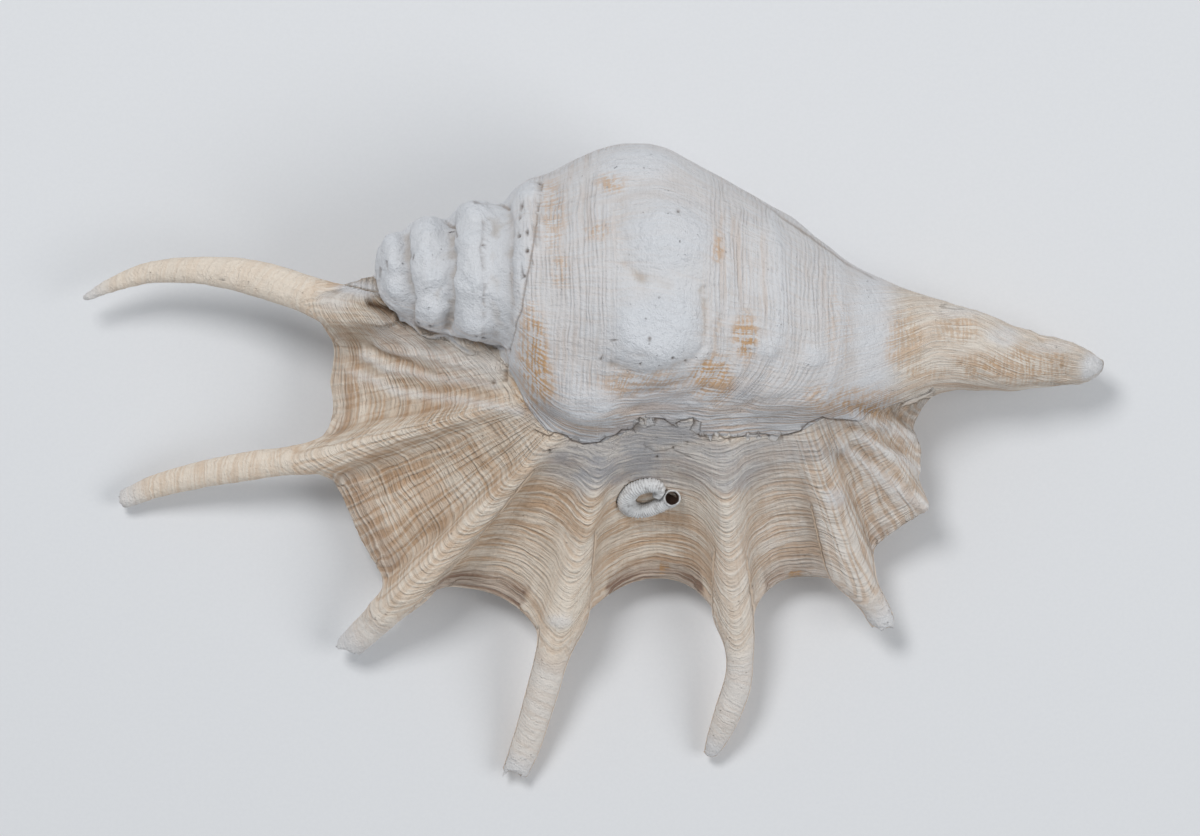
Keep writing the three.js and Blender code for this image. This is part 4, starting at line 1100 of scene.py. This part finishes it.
def worm_material(settings, grain_group):
    """Chalky grey lime of the worm's tube, with painted shade in its hollows and painted shade inside its
    opening.
    """
    material, tree, shader = new_material("Worm Tube Lime")
    grain = grouped(tree, grain_group, {"Grain Size": 0.0004, "Pores": 0.9})
    base = colours(tree, span(tree, grain["Height"], 0.35, 0.65), settings.shade_colour, settings.tube_colour)
    # the tube's hollows darkened by their depth: painted shade
    base = colours(tree, times(tree, span(tree, kept(tree, "cavity"), 0.1, 0.8), 0.6), base,
                   settings.shade_colour, "MULTIPLY")
    # inside of the opening painted dark: painted shade in the bore
    base = colours(tree, kept(tree, "dark"), base, settings.bore_shade_colour)
    tree.links.new(base, shader.inputs["Base Color"])
    shader.inputs["Roughness"].default_value = 0.88
    bump = node(tree, "ShaderNodeBump", {"Strength": 0.7, "Distance": 0.0004, "Height": grain["Height"]})
    tree.links.new(bump.outputs[0], shader.inputs["Normal"])
    return material


def shared_group(name, make):
    return bpy.data.node_groups.get(name) or make()


def linear(hexed):
    """A colour from its six figures."""
    parts = [int(hexed[k : k + 2], 16) / 255 for k in (0, 2, 4)]
    return (*(p / 12.92 if p <= 0.04045 else ((p + 0.055) / 1.055) ** 2.4 for p in parts), 1.0)


def colour_property(name, description, hexed):
    return FloatVectorProperty(name=name, description=description, default=linear(hexed), subtype="COLOR",
                               size=4, min=0.0, max=1.0)


def size_property(name, description, default, low, high):
    return FloatProperty(name=name, description=description, default=default, min=low, max=high,
                         unit="LENGTH", precision=5)


class ConchShellSettings(bpy.types.PropertyGroup):
    face_size: size_property("Face Size", "Width of the shell's small faces", 0.0009, 0.0006, 0.003)
    growth_height: size_property("Growth Ridge Height", "Height of the growth ridges", 0.00024, 0, 0.002)
    cord_height: size_property("Cord Height", "Height of cords across the growth ridges", 0.00022, 0, 0.002)
    body_colour: colour_property("Body", "Grey-white of the body whorl", "DEDDDE")
    lip_colour: colour_property("Lip", "Cream of the flared lip", "F1E4D4")
    band_colour: colour_property("Bands", "Tan of the growth bands", "CDA680")
    stain_colour: colour_property("Stain", "Orange-brown of the stained places", "CB9C64")
    chalk_colour: colour_property("Chalk", "White of worn knobs, ribs and tips", "E6E9EE")
    rim_brown_and_shade_colour: colour_property("Rim", "Brown inside the lip's thin edge", "8C7061")
    hollow_shade_colour: colour_property("Hollows", "Tint of dust in hollows", "C8B49C")
    crack_and_shade_colour: colour_property("Cracks", "Dark of cracks and pits", "5C4736")
    dust_and_shade_colour: colour_property("Grey Film", "Grey film in the valley under the body", "A3A5AC")
    lining_colour: colour_property("Lining", "Smooth underside and mouth", "EFD9C2")


class WormTubeSettings(bpy.types.PropertyGroup):
    ring_spacing: size_property("Ring Spacing", "Distance between fine rings", 0.0007, 0.0003, 0.003)
    ring_height: size_property("Ring Height", "Height of the fine rings", 0.00022, 0, 0.001)
    bore_radius: size_property("Bore Radius", "Radius of the tube's opening", 0.0019, 0.0005, 0.003)
    tube_colour: colour_property("Tube", "Pale lime of the tube", "DDDDDD")
    shade_colour: colour_property("Tube Shade", "Lime in the tube's hollows", "ACA8A6")
    bore_shade_colour: colour_property("Bore", "Dark inside of the opening", "3A261B")


class ConchStageSettings(bpy.types.PropertyGroup):
    floor_colour: colour_property("Floor", "Pale floor", "E6E7E9")
    light_size: size_property("Light Size", "Width of the soft light", 0.55, 0.1, 5.0)
    eye_height: size_property("Camera Height", "Height of the camera above the floor", 1.5, 0.5, 3.0)
    lens: FloatProperty(name="Lens", description="Focal length in millimetres", default=151.47, min=20,
                        max=400)


def finish_piece(obj, node_name, material):
    obj.data.materials.clear()
    obj.data.materials.append(material)
    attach(obj, "root")
    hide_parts(node_name)


class CONCH_OT_shell(bpy.types.Operator):
    """Builds the shell: body, flared lip, fingers and mouth, in one piece"""

    bl_idname = "conch.build_shell"
    bl_label = "Shell"

    def execute(self, context):
        settings = context.scene.conch_shell
        cell = settings.face_size * 1000
        shell = solid("conch_shell", map(loft, shell_rings()))
        modified(shell, "REMESH", mode="VOXEL", voxel_size=cell)
        hollows = solid("hollows", map(loft, hollow_rings()))
        modified(hollows, "REMESH", mode="VOXEL", voxel_size=cell)
        modified(shell, "BOOLEAN", operation="DIFFERENCE", solver="MANIFOLD", object=hollows)
        bpy.data.objects.remove(hollows)
        modified(shell, "REMESH", mode="VOXEL", voxel_size=cell)
        modified(shell, "SMOOTH", factor=0.5, iterations=SMOOTHING)
        ratio = min(1.0, SHELL_TRIANGLES / (len(shell.data.polygons) * 2))
        modified(shell, "DECIMATE", decimate_type="COLLAPSE", ratio=ratio, use_collapse_triangulate=True)
        points, normals, edges = mesh_arrays(shell.data)
        shell.data.vertices.foreach_set("co", soften_joins(points, normals, edges).ravel())
        shell.data.update()
        refine_at_marks(shell)
        sculpt(shell, settings)
        grain, lines = shared_group("Chalk Grain", chalk_grain), shared_group("Grown Lines", grown_lines)
        finish_piece(shell, "shell", shell_material(settings, grain, lines))
        return {"FINISHED"}


def worm_tree():
    """Sweeps a ringed tube along a line and cuts its bore."""
    tree = bpy.data.node_groups.new("Ringed Tube", "GeometryNodeTree")
    sockets = [("Geometry", "Geometry"), ("Ring Spacing", "Float"), ("Ring Height", "Float"),
               ("Bore Radius", "Float"), ("Bore Start", "Vector"), ("Bore End", "Vector"),
               ("Material", "Material")]
    for name, kind in sockets:
        tree.interface.new_socket(name=name, in_out="INPUT", socket_type="NodeSocket" + kind)
    tree.interface.new_socket(name="Geometry", in_out="OUTPUT", socket_type="NodeSocketGeometry")
    start = node(tree, "NodeGroupInput").outputs

    def made(kind, inputs=(), **choices):
        return node(tree, kind, inputs, **choices).outputs[0]

    radius = made("GeometryNodeInputNamedAttribute", {"Name": "radius"}, data_type="FLOAT")
    line = made("GeometryNodeMeshToCurve", {"Mesh": start["Geometry"]})
    line = made("GeometryNodeResampleCurve", {"Curve": line, "Length": 0.00016}, mode="LENGTH")
    length = node(tree, "GeometryNodeSplineParameter").outputs["Length"]
    line = made("GeometryNodeStoreNamedAttribute", {"Geometry": line, "Name": "along", "Value": length},
                data_type="FLOAT", domain="POINT")
    ring = made("GeometryNodeCurvePrimitiveCircle", {"Resolution": 40, "Radius": 1.0})
    swept = made("GeometryNodeCurveToMesh",
                 {"Curve": line, "Profile Curve": ring, "Scale": radius, "Fill Caps": True})
    along = made("GeometryNodeInputNamedAttribute", {"Name": "along"}, data_type="FLOAT")
    place = made("GeometryNodeInputPosition")
    stray = made("ShaderNodeTexNoise", {"Vector": place, "Scale": 500.0, "Detail": 2.0})
    phase = plus(tree, maths(tree, "DIVIDE", along, start["Ring Spacing"]), times(tree, stray, 1.6))
    wave = maths(tree, "SINE", times(tree, phase, 2 * math.pi))
    wave = plus(tree, wave, times(tree, less(tree, stray, 0.5), 2.2))
    lift = times(tree, wave, start["Ring Height"])
    outward = made("GeometryNodeInputNormal")
    offset = made("ShaderNodeVectorMath", {0: outward, "Scale": lift}, operation="SCALE")
    ringed = made("GeometryNodeSetPosition", {"Geometry": swept, "Offset": offset})
    bore = made("GeometryNodeCurvePrimitiveLine", {"Start": start["Bore Start"], "End": start["Bore End"]})
    ring = made("GeometryNodeCurvePrimitiveCircle", {"Resolution": 32, "Radius": start["Bore Radius"]})
    bore = made("GeometryNodeCurveToMesh", {"Curve": bore, "Profile Curve": ring, "Fill Caps": True})
    cut = made("GeometryNodeMeshBoolean", {"Mesh 1": ringed, "Mesh 2": bore, "Self Intersection": True},
               operation="DIFFERENCE", solver="EXACT")
    real = made("GeometryNodeRealizeInstances", {"Geometry": cut})
    done = made("GeometryNodeSetMaterial", {"Geometry": real, "Material": start["Material"]})
    node(tree, "NodeGroupOutput", {"Geometry": done})
    return tree


class CONCH_OT_worm_tube(bpy.types.Operator):
    """Builds the coiled worm tube that sits in the lip"""

    bl_idname = "conch.build_worm_tube"
    bl_label = "Worm Tube"

    def execute(self, context):
        settings = context.scene.conch_worm_tube
        rows = worm_rows(0.0)
        rows = numbered_curve(np.vstack([rows, rows[-1] + WORM_MOUTH_TURN]), 8)
        path = (rows[:, :3] + PLAN_TO_FRAME) / 1000
        mesh = bpy.data.meshes.new("worm_line")
        mesh.from_pydata(path.tolist(), [(k, k + 1) for k in range(len(path) - 1)], [])
        set_values(mesh, "radius", rows[:, 3] / 1000)
        tube_piece = bpy.data.objects.new("coiled_worm_tube", mesh)
        context.scene.collection.objects.link(tube_piece)
        material = worm_material(settings, shared_group("Chalk Grain", chalk_grain))
        tree = worm_tree()
        mouth = Vector(path[-1])
        facing = Vector(WORM_FACING)
        start, end = mouth + facing * BORE_REACH, mouth - facing * BORE_REACH
        values = {"Ring Spacing": settings.ring_spacing, "Ring Height": settings.ring_height,
                  "Bore Radius": settings.bore_radius, "Bore Start": start, "Bore End": end,
                  "Material": material}
        modifier = tube_piece.modifiers.new("Ringed Tube", "NODES")
        modifier.node_group = tree
        for item in tree.interface.items_tree:
            if item.in_out == "INPUT" and item.name in values:
                modifier[item.identifier] = values[item.name]
        done = bpy.data.meshes.new_from_object(tube_piece.evaluated_get(context.evaluated_depsgraph_get()))
        tube_piece.modifiers.clear()
        tube_piece.data = done
        points, normals, edges = mesh_arrays(done)
        even = eased_over(points, edges, 10)
        set_values(done, "cavity", np.clip(np.einsum("ij,ij->i", even - points, normals) / 0.0002, -1, 1))
        axis = np.array(end - start)
        away = np.linalg.norm(np.cross(points - np.array(start), axis), axis=1) / np.linalg.norm(axis)
        # the bore's walls, which the material paints dark as shade
        set_values(done, "dark", 1 - ease(settings.bore_radius, settings.bore_radius * 1.12, away))
        done.polygons.foreach_set("use_smooth", [True] * len(done.polygons))
        finish_piece(tube_piece, "worm_tube", material)
        return {"FINISHED"}


class CONCH_OT_stage(bpy.types.Operator):
    """Sets the pale floor, the soft lights and the camera straight above"""

    bl_idname = "conch.build_stage"
    bl_label = "Stage"

    def execute(self, context):
        scene, settings = context.scene, context.scene.conch_stage
        mesh = bpy.data.meshes.new("floor")
        corners = ((-1, -1), (1, -1), (1, 1), (-1, 1))
        corners = [(x * FLOOR_REACH, y * FLOOR_REACH, FLOOR_HEIGHT) for x, y in corners]
        mesh.from_pydata(corners, [], [(0, 1, 2, 3)])
        floor = bpy.data.objects.new("floor", mesh)
        scene.collection.objects.link(floor)
        material, tree, shader = new_material("Pale Floor")
        place = node(tree, "ShaderNodeTexCoord").outputs["Object"]
        shade = span(tree, clouds(tree, place, 900.0, 2.0), 0.3, 0.7, 0.0, 0.06)
        tone = colours(tree, shade, settings.floor_colour, (0.6, 0.61, 0.63, 1))
        tree.links.new(tone, shader.inputs["Base Color"])
        shader.inputs["Roughness"].default_value = 0.8
        mesh.materials.append(material)
        for name, (place, size, power) in (("key_light", KEY_LIGHT), ("fill_light", FILL_LIGHT)):
            light = bpy.data.lights.new(name, "AREA")
            light.shape, light.size, light.energy = "DISK", size or settings.light_size, power
            lamp = bpy.data.objects.new(name, light)
            lamp.location = place
            lamp.rotation_euler = (-Vector(place)).to_track_quat("-Z", "Y").to_euler()
            scene.collection.objects.link(lamp)
        world = bpy.data.worlds.new("soft_room")
        world.use_nodes = True
        background = world.node_tree.nodes["Background"]
        background.inputs["Color"].default_value = ROOM_COLOUR
        background.inputs["Strength"].default_value = ROOM_STRENGTH
        scene.world = world
        scene.view_settings.view_transform = "Standard"
        camera = bpy.data.objects.new("camera", bpy.data.cameras.new("camera"))
        camera.data.lens, camera.data.sensor_width = settings.lens, 36
        camera.data.clip_start = 0.01
        camera.location = (PLAN_TO_FRAME[0] / 1000, PLAN_TO_FRAME[1] / 1000, settings.eye_height)
        scene.collection.objects.link(camera)
        scene.camera = camera
        return {"FINISHED"}


OPERATORS = (CONCH_OT_stage, CONCH_OT_shell, CONCH_OT_worm_tube)
SETTINGS = {"conch_stage": ConchStageSettings, "conch_shell": ConchShellSettings,
            "conch_worm_tube": WormTubeSettings}


class CONCH_PT_panel(bpy.types.Panel):
    bl_idname = "CONCH_PT_panel"
    bl_label = "Spider Conch Shell"
    bl_space_type = "VIEW_3D"
    bl_region_type = "UI"
    bl_category = "Conch"

    def draw(self, context):
        for operator, name in zip(OPERATORS, SETTINGS):
            box = self.layout.box()
            for key in SETTINGS[name].__annotations__:
                box.prop(getattr(context.scene, name), key)
            box.operator(operator.bl_idname)


def register():
    for made in (*SETTINGS.values(), *OPERATORS, CONCH_PT_panel):
        bpy.utils.register_class(made)
    for name, group in SETTINGS.items():
        setattr(bpy.types.Scene, name, PointerProperty(type=group))


def unregister():
    for name in SETTINGS:
        delattr(bpy.types.Scene, name)
    for made in reversed((*SETTINGS.values(), *OPERATORS, CONCH_PT_panel)):
        bpy.utils.unregister_class(made)


def main():
    register()
    bpy.ops.conch.build_stage()
    bpy.ops.conch.build_shell()
    bpy.ops.conch.build_worm_tube()


if __name__ == "__main__":
    main()
